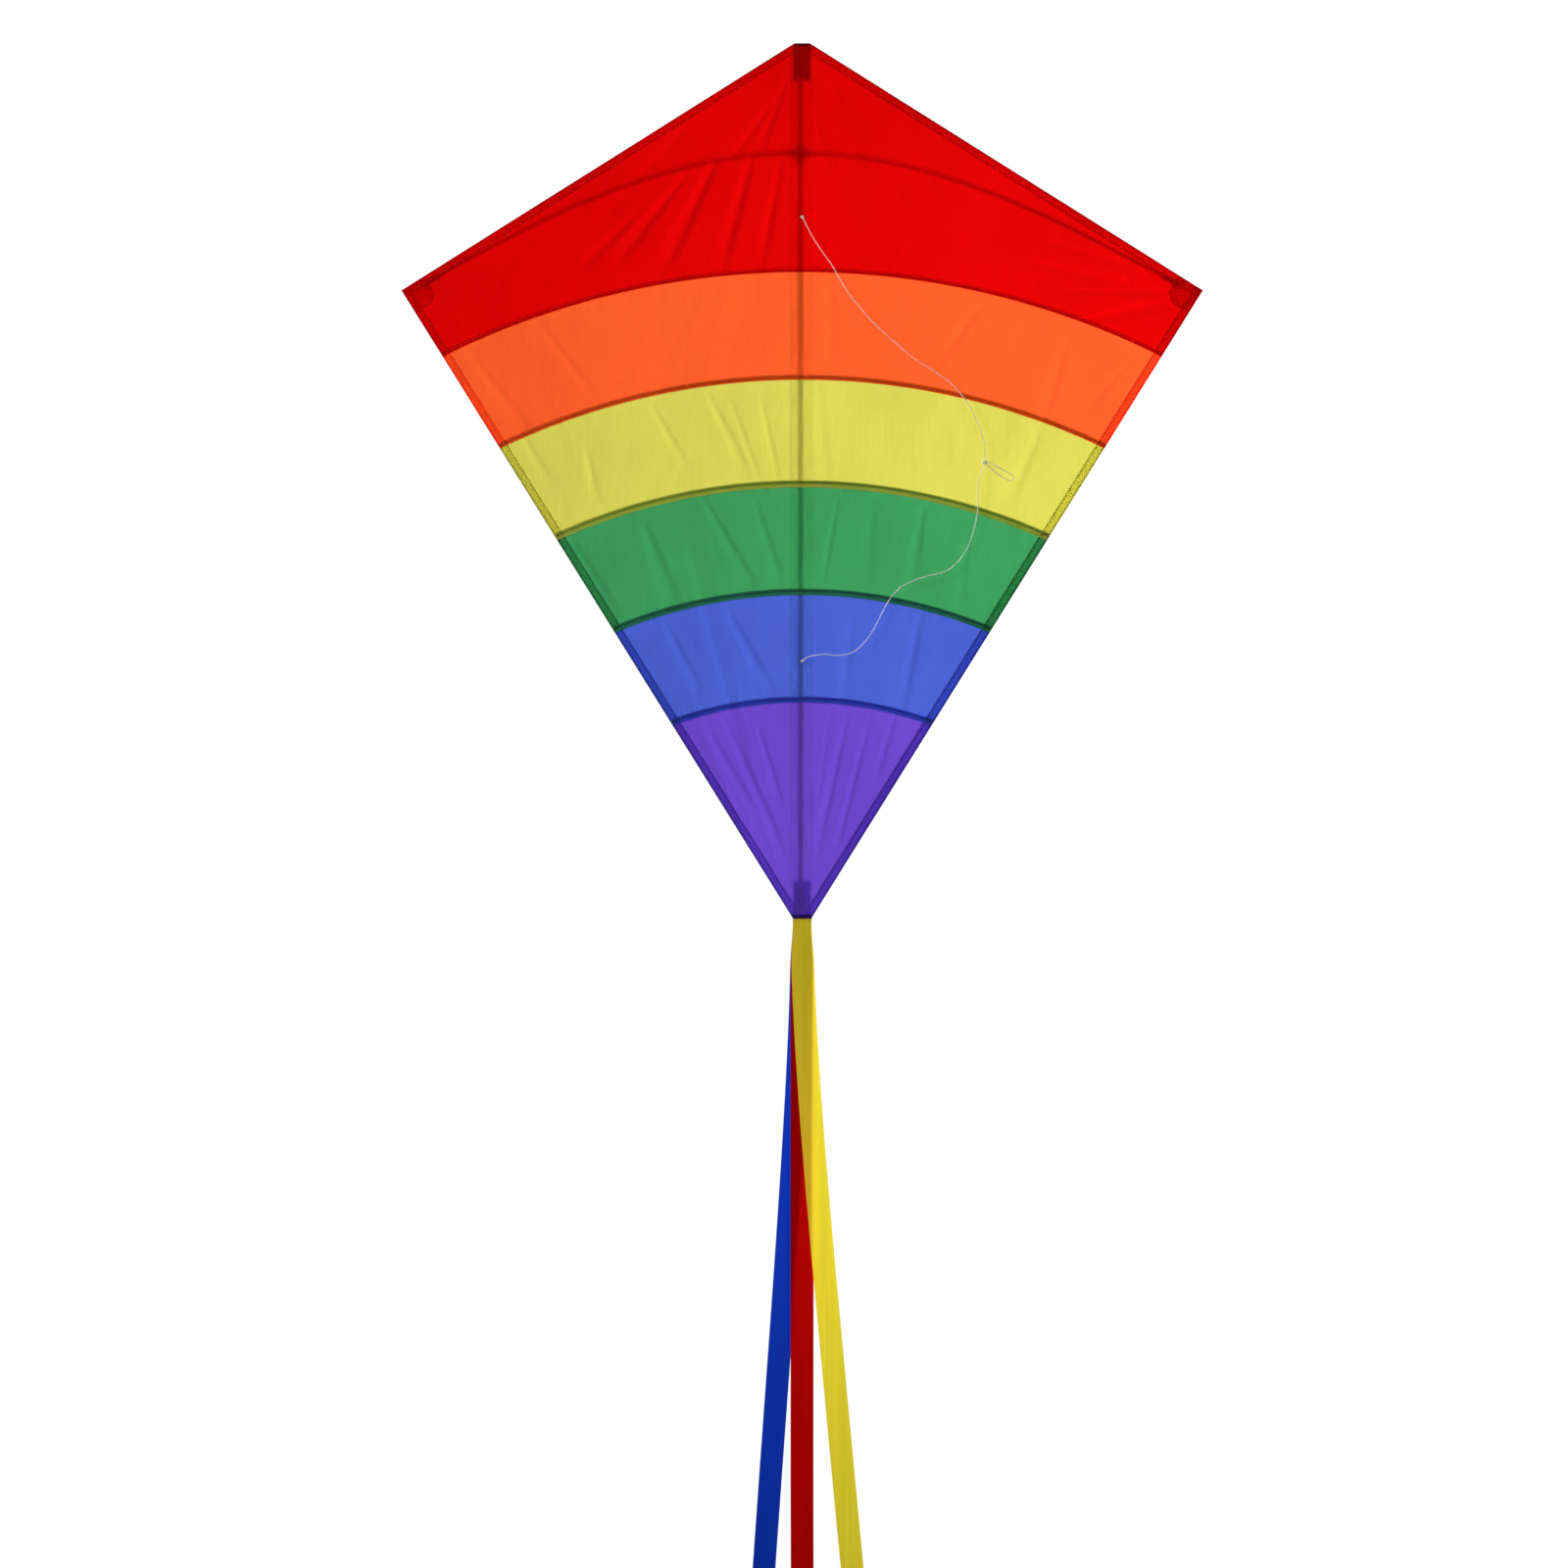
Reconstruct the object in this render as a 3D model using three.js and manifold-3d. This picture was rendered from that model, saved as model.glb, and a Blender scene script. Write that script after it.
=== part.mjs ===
// A single-line diamond kite with six arched colour panels, a bowed spreader, a two-leg bridle
// and three ribbon tails. Millimetres, +Z up towards the nose, +Y towards the back of the sail.
// The origin is where the spars cross, on the flat back of the cross fitting.

import * as THREE from "three";
import { mergeVertices } from "three/addons/utils/BufferGeometryUtils.js";
import Module from "manifold-3d";

const wasm = await Module();
wasm.setup();

// Sail outline. Heights are measured up from the foot of the sail.
const SAIL_HEIGHT = 762;
const HALF_SPAN = 349;
const TIP_HEIGHT = 547;
const HALF_NOSE = 7;
const HALF_FOOT = 8;
const CROSS_HEIGHT = 664;

// The colour panels meet on arcs about one centre below the foot.
const ARC_CENTRE_HEIGHT = -140;
const FIRST_ARC_RADIUS = 703;
const ARC_STEP = 93.75;
const ARC_SEGMENTS = 14;
const COLOURS = [
  ["red", 0xd90404],
  ["orange", 0xfd5e2a],
  ["yellow", 0xd7d056],
  ["green", 0x3f9a5c],
  ["blue", 0x4a5fcc],
  ["purple", 0x6a46c4],
];

// Depths of the layers, from the cross fitting's back face (0) forwards (negative Y).
const SPREADER_Y = -3.6;
const SPREADER_TIP_Y = -7.9;
const SPINE_Y = -7.6;
const SAIL_Y = -10.9;
const POCKET_FRONT_Y = -10.2;
const SAIL_THICKNESS = 0.5;
const TAPE_THICKNESS = 0.8;

// Clearance between touching pieces, and how far a cutting tool runs past the face that it cuts.
const GAP = 0.3;
const PAST = 1;
const TAPE_HALF_WIDTH = 11;

// Spars
const SPINE_RADIUS = 2;
const SPINE_FROM = 10;
const SPINE_TO = 751;
const SPREADER_RADIUS = 1.5;
const SPREADER_TIP_X = 327;
const SPREADER_TIP_HEIGHT = 552;
const SPREADER_CENTRE_HALF = 9;
const WING_HINGE_X = 9.3;
const CAP_LENGTH = 16;
const CAP_WALL = 0.3;
const CAP_END = 2;
const SPAR_SIDES = 12;
const SPREADER_STEPS = 40;
const SPREADER_CENTRE_STEPS = 4;

// Pockets that hold the ends of the spars
const POCKET_HALF_WIDTH = 7.5;
const POCKET_LENGTH = 33;
const POCKET_WALL = 0.8;
const CORNER_POCKET_SIDE = 24;
const CORNER_POCKET_INSET = 1;
const CORNER_POCKET_CUT = 17;

// Cross fitting
const FITTING_ARM_HALF = 3;
const FITTING_ARM_DEPTH = 6;
const FITTING_CLIP_RADIUS = 4;
const FITTING_CLIP_HALF_HEIGHT = 8;
const FITTING_SLOT_HALF = 1.7;
const FITTING_FRONT_Y = -10.1;

// Bridle
const CORD_RADIUS = 0.5;
const CORD_SIDES = 8;
const UPPER_LEG_STEPS = 34;
const LOWER_LEG_STEPS = 38;
const TOW_LOOP_STEPS = 12;
const TIE_RING_RADIUS = 3.2;
const TIE_RING_Y = -7.7;
const TIE_SEGMENTS = 24;
const UPPER_TIE_HEIGHT = 611;
const LOWER_TIE_HEIGHT = 224;
const KNOT_RADIUS = 2.4;
const KNOT_DETAIL = 2;
const KNOT = [159, -14, 397];

// The legs' routes as [x, y, height above the foot], from each tie to the knot.
const UPPER_LEG = [
  [0, -12.2, 611],
  [1, -13.1, 609.5],
  [4, -13.8, 603],
  [10, -14, 592],
  [18, -14, 580],
  [27, -14, 567],
  [38, -14, 548],
  [58, -14, 523],
  [76, -14, 506],
  [97, -14, 488],
  [117, -14, 475],
  [130, -14, 465.5],
  [141, -14, 453],
  [151, -14, 436],
  [157.5, -14, 419],
  [159.4, -14, 407],
  [159.2, -14, 399.8],
];
const LOWER_LEG = [
  [0, -12.2, 224],
  [1.5, -13.1, 225.2],
  [6, -13.8, 228],
  [19, -14, 230],
  [32, -14, 229],
  [42, -14, 231],
  [50, -14, 236],
  [58, -14, 245],
  [64, -14, 255],
  [70, -14, 267],
  [77, -14, 279],
  [86, -14, 288.5],
  [97, -14, 294],
  [109, -14, 298],
  [124, -14, 302],
  [134, -14, 309],
  [142, -14, 319],
  [147, -14, 330],
  [151, -14, 345],
  [153, -14, 358],
  [153, -14, 369],
  [154, -14, 382],
  [156, -14, 389],
  [157.8, -14, 394.5],
];
const TOW_LOOP = [
  [161.9, -14, 397.4],
  [167, -14, 395],
  [175, -14, 390.6],
  [182, -14, 386.8],
  [184.6, -14, 383.6],
  [182, -14, 381.4],
  [177, -14, 382.8],
  [169, -14, 387.6],
  [161.1, -14, 394.9],
];

// Tails: three ribbons whose heads are sewn together under the foot of the sail
const RIBBON_HALF_WIDTH = 10;
const RIBBON_THICKNESS = 0.4;
const RIBBON_LENGTH = 1000;
const RIBBON_BEND = 500;
const RIBBON_STEPS = 12;
const RIBBON_HEAD_SEGMENTS = 6;
const RIBBON_SETTLE = 120;
const HEADS_TOP = -1.7;
const HEADS_HEIGHT = 12;
const HEADS_HALF_WIDTH = 10.5;
const HEADS_THICKNESS = 2.6;
const RIBBON_PIVOT_DROP = 24.3;
const BEND_GAP = 0.4;
const TAILS = [
  { name: "yellow", colour: 0xe2d93c, lean: 0.0984, layer: -0.9, tilt: -0.006 },
  { name: "red", colour: 0xa80808, lean: 0, layer: 0, tilt: 0 },
  { name: "blue", colour: 0x10309c, lean: -0.075, layer: 0.9, tilt: 0.006 },
];

function material(colour, roughness) {
  return new THREE.MeshStandardMaterial({ color: colour, roughness, metalness: 0 });
}

const clothOf = (colour) => material(colour, 0.45);
const ROD = material(0xcfccc2, 0.4);
const VINYL = material(0x26262a, 0.6);
const CLEAR_VINYL = material(0xd8d6cc, 0.35);
const CORD = material(0xf2f2ee, 0.7);
const TAPE = clothOf(0x8a1a12);
const NOSE_PATCH = clothOf(0x7d0606);
const TAIL_PATCH = clothOf(0x4a2c96);
const CORNER_PATCH = clothOf(0x8f0a0a);
const HEADS_CLOTH = clothOf(0xc8b436);

function mesh(name, geometry, look) {
  const made = new THREE.Mesh(geometry, look);
  made.name = name;
  return made;
}

// A flat shape drawn in X and Z becomes a plate of the given thickness, centred on y.
function plate(shape, thickness, y, curveSegments = ARC_SEGMENTS) {
  const options = { depth: thickness, bevelEnabled: false, curveSegments };
  const geometry = new THREE.ExtrudeGeometry(shape, options);
  geometry.rotateX(Math.PI / 2);
  geometry.translate(0, y + thickness / 2, 0);
  return geometry;
}

function polygon(points) {
  return new THREE.Shape(points.map(([x, z]) => new THREE.Vector2(x, z)));
}

function roundSection(radius, sides) {
  const points = [];
  for (let i = 0; i < sides; i += 1) {
    const angle = (2 * Math.PI * i) / sides;
    points.push([radius * Math.cos(angle), radius * Math.sin(angle)]);
  }
  return polygon(points);
}

function tube(points, radius, sides, steps) {
  const path = new THREE.CatmullRomCurve3(points.map((p) => new THREE.Vector3(...p)));
  const section = roundSection(radius, sides);
  return new THREE.ExtrudeGeometry(section, { extrudePath: path, steps, bevelEnabled: false });
}

function box(x, y, z) {
  const [[x0, x1], [y0, y1], [z0, z1]] = [x, y, z];
  const geometry = new THREE.BoxGeometry(x1 - x0, y1 - y0, z1 - z0);
  geometry.translate((x0 + x1) / 2, (y0 + y1) / 2, (z0 + z1) / 2);
  return geometry;
}

// A cylinder along Z from one height to another.
function upright(radius, x, y, from, to, sides = SPAR_SIDES) {
  const geometry = new THREE.CylinderGeometry(radius, radius, to - from, sides);
  geometry.rotateX(Math.PI / 2);
  geometry.translate(x, y, (from + to) / 2);
  return geometry;
}

function toSolid(geometry) {
  const bare = geometry.index ? geometry.toNonIndexed() : geometry.clone();
  bare.deleteAttribute("normal");
  bare.deleteAttribute("uv");
  const merged = mergeVertices(bare, 1e-4);
  return new wasm.Manifold(
    new wasm.Mesh({
      numProp: 3,
      vertProperties: merged.attributes.position.array,
      triVerts: new Uint32Array(merged.index.array),
    }),
  );
}

function fromSolid(solid) {
  const made = solid.getMesh();
  const geometry = new THREE.BufferGeometry();
  geometry.setAttribute("position", new THREE.BufferAttribute(made.vertProperties, 3));
  geometry.setIndex(new THREE.BufferAttribute(made.triVerts, 1));
  return geometry;
}

function cut(geometry, ...tools) {
  let solid = toSolid(geometry);
  for (const tool of tools) solid = solid.subtract(toSolid(tool));
  return fromSolid(solid);
}

// A cap for a rod's end: it stands along Y with its closed end at the origin, and is bored from above.
function capGeometry(rodRadius) {
  const bore = rodRadius + GAP;
  const outer = bore + CAP_WALL;
  const profile = [
    [0, 0],
    [outer, 0],
    [outer, CAP_LENGTH],
    [bore, CAP_LENGTH],
    [bore, CAP_END],
    [0, CAP_END],
  ].map(([r, y]) => new THREE.Vector2(r, y));
  return new THREE.LatheGeometry(profile, SPAR_SIDES);
}

const capRadius = (rodRadius) => rodRadius + GAP + CAP_WALL;

// The sail's straight edges and the arcs between its colours.
const upperEdge = (x) =>
  TIP_HEIGHT + ((HALF_SPAN - x) * (SAIL_HEIGHT - TIP_HEIGHT)) / (HALF_SPAN - HALF_NOSE);
const lowerSlope = (HALF_SPAN - HALF_FOOT) / TIP_HEIGHT;
const lowerEdgeHeight = (x) => (x - HALF_FOOT) / lowerSlope;

// The angle at which an arc of this radius meets the lower edge.
function arcEndAngle(radius) {
  const a = lowerSlope ** 2 + 1;
  const b = 2 * (lowerSlope * HALF_FOOT - ARC_CENTRE_HEIGHT);
  const c = HALF_FOOT ** 2 + ARC_CENTRE_HEIGHT ** 2 - radius ** 2;
  const height = (-b + Math.sqrt(b * b - 4 * a * c)) / (2 * a);
  return Math.atan2(height - ARC_CENTRE_HEIGHT, HALF_FOOT + lowerSlope * height);
}

function panelShape(index) {
  const inner = TAPE_HALF_WIDTH + GAP;
  const above = FIRST_ARC_RADIUS - ARC_STEP * (index - 1) - GAP / 2;
  const below = FIRST_ARC_RADIUS - ARC_STEP * index + GAP / 2;
  const shape = new THREE.Shape();
  if (index === 0) {
    shape.moveTo(inner, upperEdge(inner));
    shape.lineTo(HALF_SPAN, TIP_HEIGHT);
  } else {
    shape.absarc(0, ARC_CENTRE_HEIGHT, above, Math.acos(inner / above), arcEndAngle(above), true);
  }
  if (index === COLOURS.length - 1) {
    shape.lineTo(inner, lowerEdgeHeight(inner));
  } else {
    shape.absarc(0, ARC_CENTRE_HEIGHT, below, arcEndAngle(below), Math.acos(inner / below), false);
  }
  shape.closePath();
  return shape;
}

// The strip along the spine: the middle of the sail and the tape that backs it, with a slot at each tie.
function spineTape() {
  const nearNose = upperEdge(TAPE_HALF_WIDTH);
  const nearFoot = lowerEdgeHeight(TAPE_HALF_WIDTH);
  const shape = polygon([
    [-HALF_FOOT, 0],
    [HALF_FOOT, 0],
    [TAPE_HALF_WIDTH, nearFoot],
    [TAPE_HALF_WIDTH, nearNose],
    [HALF_NOSE, SAIL_HEIGHT],
    [-HALF_NOSE, SAIL_HEIGHT],
    [-TAPE_HALF_WIDTH, nearNose],
    [-TAPE_HALF_WIDTH, nearFoot],
  ]);
  const halfSlot = TIE_RING_RADIUS + GAP;
  const halfOpen = CORD_RADIUS + 1.5 * GAP;
  for (const height of [UPPER_TIE_HEIGHT, LOWER_TIE_HEIGHT]) {
    shape.holes.push(
      polygon([
        [-halfSlot, height - halfOpen],
        [halfSlot, height - halfOpen],
        [halfSlot, height + halfOpen],
        [-halfSlot, height + halfOpen],
      ]),
    );
  }
  return mesh("spine_tape", plate(shape, TAPE_THICKNESS, SAIL_Y), TAPE);
}

function spine() {
  const rod = upright(SPINE_RADIUS, 0, SPINE_Y, SPINE_FROM, SPINE_TO);
  const noseCap = mesh("spine_nose_cap", capGeometry(SPINE_RADIUS), VINYL);
  noseCap.rotation.x = -Math.PI / 2;
  noseCap.position.set(0, SPINE_Y, SPINE_TO + GAP + CAP_END);
  const tailCap = mesh("spine_tail_cap", capGeometry(SPINE_RADIUS), VINYL);
  tailCap.rotation.x = Math.PI / 2;
  tailCap.position.set(0, SPINE_Y, SPINE_FROM - GAP - CAP_END);
  return [mesh("spine_rod", rod, ROD), noseCap, tailCap];
}

// A pouch behind the tape, open towards the middle of the sail.
function spinePocket(name, from, to, boreFrom, boreTo, look) {
  const bore = capRadius(SPINE_RADIUS) + GAP;
  const back = SPINE_Y + bore + POCKET_WALL;
  const block = box([-POCKET_HALF_WIDTH, POCKET_HALF_WIDTH], [POCKET_FRONT_Y, back], [from, to]);
  const hollow = upright(bore, 0, SPINE_Y, boreFrom, boreTo);
  const front = box([-bore, bore], [POCKET_FRONT_Y - PAST, SPINE_Y], [boreFrom, boreTo]);
  return mesh(name, cut(block, hollow, front), look);
}

function spinePockets() {
  const noseEnd = SPINE_TO + 2 * GAP + CAP_END;
  const tailEnd = SPINE_FROM - 2 * GAP - CAP_END;
  const noseFrom = SAIL_HEIGHT - POCKET_LENGTH;
  return [
    spinePocket("nose_pocket", noseFrom, SAIL_HEIGHT, noseFrom - PAST, noseEnd, NOSE_PATCH),
    spinePocket("tail_pocket", 0, POCKET_LENGTH, tailEnd, POCKET_LENGTH + PAST, TAIL_PATCH),
  ];
}

function crossFitting() {
  const reach = SPREADER_CENTRE_HALF;
  const arm = FITTING_ARM_HALF;
  const tall = FITTING_CLIP_HALF_HEIGHT;
  const stem = FITTING_CLIP_RADIUS;
  const outline = polygon([
    [-reach, CROSS_HEIGHT - arm],
    [-stem, CROSS_HEIGHT - arm],
    [-stem, CROSS_HEIGHT - tall],
    [stem, CROSS_HEIGHT - tall],
    [stem, CROSS_HEIGHT - arm],
    [reach, CROSS_HEIGHT - arm],
    [reach, CROSS_HEIGHT + arm],
    [stem, CROSS_HEIGHT + arm],
    [stem, CROSS_HEIGHT + tall],
    [-stem, CROSS_HEIGHT + tall],
    [-stem, CROSS_HEIGHT + arm],
    [-reach, CROSS_HEIGHT + arm],
  ]);
  const cross = plate(outline, FITTING_ARM_DEPTH, -FITTING_ARM_DEPTH / 2);
  const clip = upright(stem, 0, SPINE_Y, CROSS_HEIGHT - tall, CROSS_HEIGHT + tall, 2 * SPAR_SIDES);
  const body = fromSolid(toSolid(cross).add(toSolid(clip)));
  const low = CROSS_HEIGHT - 2 * tall;
  const high = CROSS_HEIGHT + 2 * tall;
  const spineBore = upright(SPINE_RADIUS + GAP, 0, SPINE_Y, low, high);
  const slot = box([-FITTING_SLOT_HALF, FITTING_SLOT_HALF], [SPINE_Y - 2 * stem, SPINE_Y], [low, high]);
  const front = box([-2 * stem, 2 * stem], [FITTING_FRONT_Y - 2 * stem, FITTING_FRONT_Y], [low, high]);
  const ends = 2 * reach;
  const spreaderBore = upright(SPREADER_RADIUS + GAP, 0, 0, -ends, ends);
  spreaderBore.rotateY(Math.PI / 2);
  spreaderBore.translate(0, SPREADER_Y, CROSS_HEIGHT);
  return mesh("cross_fitting", cut(body, spineBore, slot, front, spreaderBore), CLEAR_VINYL);
}

// The bowed spreader's centreline: an arch across the sail that comes forward to the corner pockets.
function spreaderPoint(x) {
  const rise = CROSS_HEIGHT - SPREADER_TIP_HEIGHT;
  const share = x / SPREADER_TIP_X;
  const height = SPREADER_TIP_HEIGHT + rise * Math.cos((Math.PI / 2) * share);
  return [x, SPREADER_Y + (SPREADER_TIP_Y - SPREADER_Y) * share ** 2, height];
}

function spreaderTube(from, to, steps) {
  const points = [];
  for (let i = 0; i <= steps; i += 1) points.push(spreaderPoint(from + ((to - from) * i) / steps));
  return tube(points, SPREADER_RADIUS, SPAR_SIDES, steps);
}

// Turns a geometry's Y axis along the spreader's end and moves its origin the given way past the end.
function alongSpreaderEnd(geometry, past) {
  const end = new THREE.Vector3(...spreaderPoint(SPREADER_TIP_X));
  const before = new THREE.Vector3(...spreaderPoint(SPREADER_TIP_X - 1));
  const outward = end.clone().sub(before).normalize();
  const turn = new THREE.Quaternion().setFromUnitVectors(
    new THREE.Vector3(0, 1, 0),
    outward.clone().negate(),
  );
  geometry.applyQuaternion(turn);
  geometry.translate(...end.addScaledVector(outward, past).toArray());
  return geometry;
}

// A square patch in the wing tip's corner, with a channel for the capped end of the spreader.
function cornerPocket(name) {
  const up = new THREE.Vector2(HALF_NOSE - HALF_SPAN, SAIL_HEIGHT - TIP_HEIGHT).normalize();
  const down = new THREE.Vector2(HALF_FOOT - HALF_SPAN, -TIP_HEIGHT).normalize();
  const tip = new THREE.Vector2(HALF_SPAN, TIP_HEIGHT);
  const at = (u, v) => {
    const point = tip.clone().addScaledVector(up, u).addScaledVector(down, v);
    return [point.x, point.y];
  };
  const near = CORNER_POCKET_INSET;
  const far = CORNER_POCKET_SIDE;
  const blunt = CORNER_POCKET_CUT;
  const shape = polygon([at(near, near), at(far, near), at(far, blunt), at(blunt, far), at(near, far)]);
  const bore = capRadius(SPREADER_RADIUS) + GAP;
  const back = SPREADER_TIP_Y + bore + POCKET_WALL;
  const front = SAIL_Y + SAIL_THICKNESS / 2 + GAP;
  const block = plate(shape, back - front, (back + front) / 2);
  const past = CAP_END + 2 * GAP;
  const length = 3 * CORNER_POCKET_SIDE;
  const hollow = new THREE.CylinderGeometry(bore, bore, length, SPAR_SIDES);
  hollow.translate(0, length / 2, 0);
  const slot = new THREE.BoxGeometry(2 * bore, length, 2 * bore);
  slot.translate(0, length / 2, 0);
  alongSpreaderEnd(hollow, past);
  const facing = alongSpreaderEnd(slot, past);
  facing.translate(0, -bore, 0);
  return mesh(name, cut(block, hollow, facing), CORNER_PATCH);
}

// One wing, built on the +X side; the other is its mirror image.
function wing(side, name) {
  const group = new THREE.Group();
  group.scale.x = side;
  COLOURS.forEach(([colour, hex], index) => {
    const geometry = plate(panelShape(index), SAIL_THICKNESS, SAIL_Y);
    group.add(mesh(`sail_${colour}_${name}`, geometry, clothOf(hex)));
  });
  const rodFrom = WING_HINGE_X + 2 * GAP;
  group.add(mesh(`spreader_${name}`, spreaderTube(rodFrom, SPREADER_TIP_X, SPREADER_STEPS), ROD));
  const cap = alongSpreaderEnd(capGeometry(SPREADER_RADIUS), CAP_END + GAP);
  group.add(mesh(`spreader_cap_${name}`, cap, VINYL));
  group.add(cornerPocket(`corner_pocket_${name}`));
  return group;
}

// Each leg is tied round the spine through a slot in the sail.
function bridleTie(name, height) {
  const geometry = new THREE.TorusGeometry(TIE_RING_RADIUS, CORD_RADIUS, CORD_SIDES, TIE_SEGMENTS);
  const ring = mesh(name, geometry, CORD);
  ring.position.set(0, TIE_RING_Y, height);
  return ring;
}

function bridle() {
  const knot = new THREE.IcosahedronGeometry(KNOT_RADIUS, KNOT_DETAIL);
  knot.translate(...KNOT);
  return [
    bridleTie("bridle_tie_upper", UPPER_TIE_HEIGHT),
    bridleTie("bridle_tie_lower", LOWER_TIE_HEIGHT),
    mesh("bridle_upper_leg", tube(UPPER_LEG, CORD_RADIUS, CORD_SIDES, UPPER_LEG_STEPS), CORD),
    mesh("bridle_lower_leg", tube(LOWER_LEG, CORD_RADIUS, CORD_SIDES, LOWER_LEG_STEPS), CORD),
    mesh("tow_knot", knot, CORD),
    mesh("tow_loop", tube(TOW_LOOP, CORD_RADIUS, CORD_SIDES, TOW_LOOP_STEPS), CORD),
  ];
}

// How far sideways a ribbon has drifted at a given drop below the foot.
function drift(lean, drop) {
  return lean * (drop - RIBBON_SETTLE * (1 - Math.exp(-drop / RIBBON_SETTLE)));
}

function ribbonShape(lean, from, to, steps, roundHead) {
  const shape = new THREE.Shape();
  const side = (sign, i) => {
    const drop = from + ((to - from) * i) / steps;
    return [drift(lean, drop) + sign * RIBBON_HALF_WIDTH, -drop];
  };
  shape.moveTo(...side(1, 0));
  for (let i = 1; i <= steps; i += 1) shape.lineTo(...side(1, i));
  for (let i = steps; i >= 0; i -= 1) shape.lineTo(...side(-1, i));
  if (roundHead) shape.absarc(drift(lean, from), -from, RIBBON_HALF_WIDTH, Math.PI, 0, true);
  shape.closePath();
  return shape;
}

function tails() {
  const headsWide = [-HEADS_HALF_WIDTH, HEADS_HALF_WIDTH];
  const headsDeep = [SAIL_Y - HEADS_THICKNESS / 2, SAIL_Y + HEADS_THICKNESS / 2];
  const heads = box(headsWide, headsDeep, [HEADS_TOP - HEADS_HEIGHT, HEADS_TOP]);
  const made = [mesh("tail_heads", heads, HEADS_CLOTH)];
  for (const { name, colour, lean, layer, tilt } of TAILS) {
    const steps = lean === 0 ? 1 : RIBBON_STEPS;
    const upper = ribbonShape(lean, RIBBON_PIVOT_DROP, RIBBON_BEND - BEND_GAP, steps, true);
    const lower = ribbonShape(lean, RIBBON_BEND + BEND_GAP, RIBBON_LENGTH, 1, false);
    for (const [part, shape] of [["upper", upper], ["lower", lower]]) {
      const geometry = plate(shape, RIBBON_THICKNESS, 0, RIBBON_HEAD_SEGMENTS);
      const ribbon = mesh(`tail_${name}_${part}`, geometry, clothOf(colour));
      ribbon.position.y = SAIL_Y + layer;
      ribbon.rotation.x = tilt;
      made.push(ribbon);
    }
  }
  return made;
}

const kite = new THREE.Group();
kite.position.z = -CROSS_HEIGHT;
kite.add(spineTape(), ...spine(), ...spinePockets(), crossFitting());
const centreRod = spreaderTube(-SPREADER_CENTRE_HALF, SPREADER_CENTRE_HALF, SPREADER_CENTRE_STEPS);
kite.add(mesh("spreader_centre", centreRod, ROD));
kite.add(wing(-1, "left"), wing(1, "right"));
kite.add(...bridle(), ...tails());

const part = new THREE.Group();
part.add(kite);

export default part;
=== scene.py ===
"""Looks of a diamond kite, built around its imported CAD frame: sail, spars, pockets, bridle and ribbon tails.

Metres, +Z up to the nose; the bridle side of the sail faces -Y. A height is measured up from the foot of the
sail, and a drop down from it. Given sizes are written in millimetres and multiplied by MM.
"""

import math

import bpy
import numpy as np
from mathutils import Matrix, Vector


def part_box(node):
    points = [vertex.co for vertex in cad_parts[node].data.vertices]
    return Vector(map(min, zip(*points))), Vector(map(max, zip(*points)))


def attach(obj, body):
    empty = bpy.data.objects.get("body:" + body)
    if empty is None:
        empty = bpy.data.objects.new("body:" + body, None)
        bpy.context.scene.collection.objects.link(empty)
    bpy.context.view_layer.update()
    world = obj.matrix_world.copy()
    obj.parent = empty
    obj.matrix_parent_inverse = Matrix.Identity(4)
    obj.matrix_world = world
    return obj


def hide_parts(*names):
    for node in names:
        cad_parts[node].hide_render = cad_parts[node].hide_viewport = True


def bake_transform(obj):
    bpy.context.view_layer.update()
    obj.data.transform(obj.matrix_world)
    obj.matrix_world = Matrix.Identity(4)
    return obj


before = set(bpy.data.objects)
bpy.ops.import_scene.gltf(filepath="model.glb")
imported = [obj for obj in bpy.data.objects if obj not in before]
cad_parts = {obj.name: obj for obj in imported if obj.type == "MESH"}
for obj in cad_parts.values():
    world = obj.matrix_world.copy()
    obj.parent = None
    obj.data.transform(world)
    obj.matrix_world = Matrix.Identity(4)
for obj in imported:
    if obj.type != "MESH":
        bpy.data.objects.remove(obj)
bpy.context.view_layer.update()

MM = 0.001


# ---------------------------------------------------------------- sizes that the frame gives


def farthest(node, way):
    """The corner of a CAD node that lies furthest along a direction."""
    direction = Vector(way)
    return max((v.co.copy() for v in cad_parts[node].data.vertices), key=direction.dot)


def middle(node):
    low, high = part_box(node)
    return (low + high) / 2


COLOURS = ["red", "orange", "yellow", "green", "blue", "purple"]
SIDES = {"left": -1, "right": 1}
TAPE_LOW, TAPE_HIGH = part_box("spine_tape")
FOOT_Z, NOSE_Z, SAIL_Y = TAPE_LOW.z, TAPE_HIGH.z, middle("spine_tape").y
TIP = farthest("sail_red_right", (1, 0, 0))
HALF_FOOT, HALF_NOSE = 8 * MM, 7 * MM
TAPE_HALF = TAPE_HIGH.x
EDGE_SLOPE = (TIP.x - HALF_FOOT) / (TIP.z - FOOT_Z)

SEAM_ENDS = [farthest(f"sail_{colour}_right", (1, 0, 0)) for colour in COLOURS[1:]]
SEAM_TOPS = [farthest(f"sail_{colour}_right", (0, 0, 1)) for colour in COLOURS[1:]]
ARC_CENTRE_Z = (
    (SEAM_ENDS[0].x ** 2 + SEAM_ENDS[0].z ** 2 - SEAM_TOPS[0].x ** 2 - SEAM_TOPS[0].z ** 2)
    / (2 * (SEAM_ENDS[0].z - SEAM_TOPS[0].z))
)
SEAM_RADII = [math.hypot(top.x, top.z - ARC_CENTRE_Z) for top in SEAM_TOPS]

SPINE = middle("spine_rod")
SPINE_RADIUS = (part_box("spine_rod")[1].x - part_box("spine_rod")[0].x) / 2
SPREADER_RADIUS = 1.5 * MM
CORD_DIAMETER = 1.0 * MM


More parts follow.
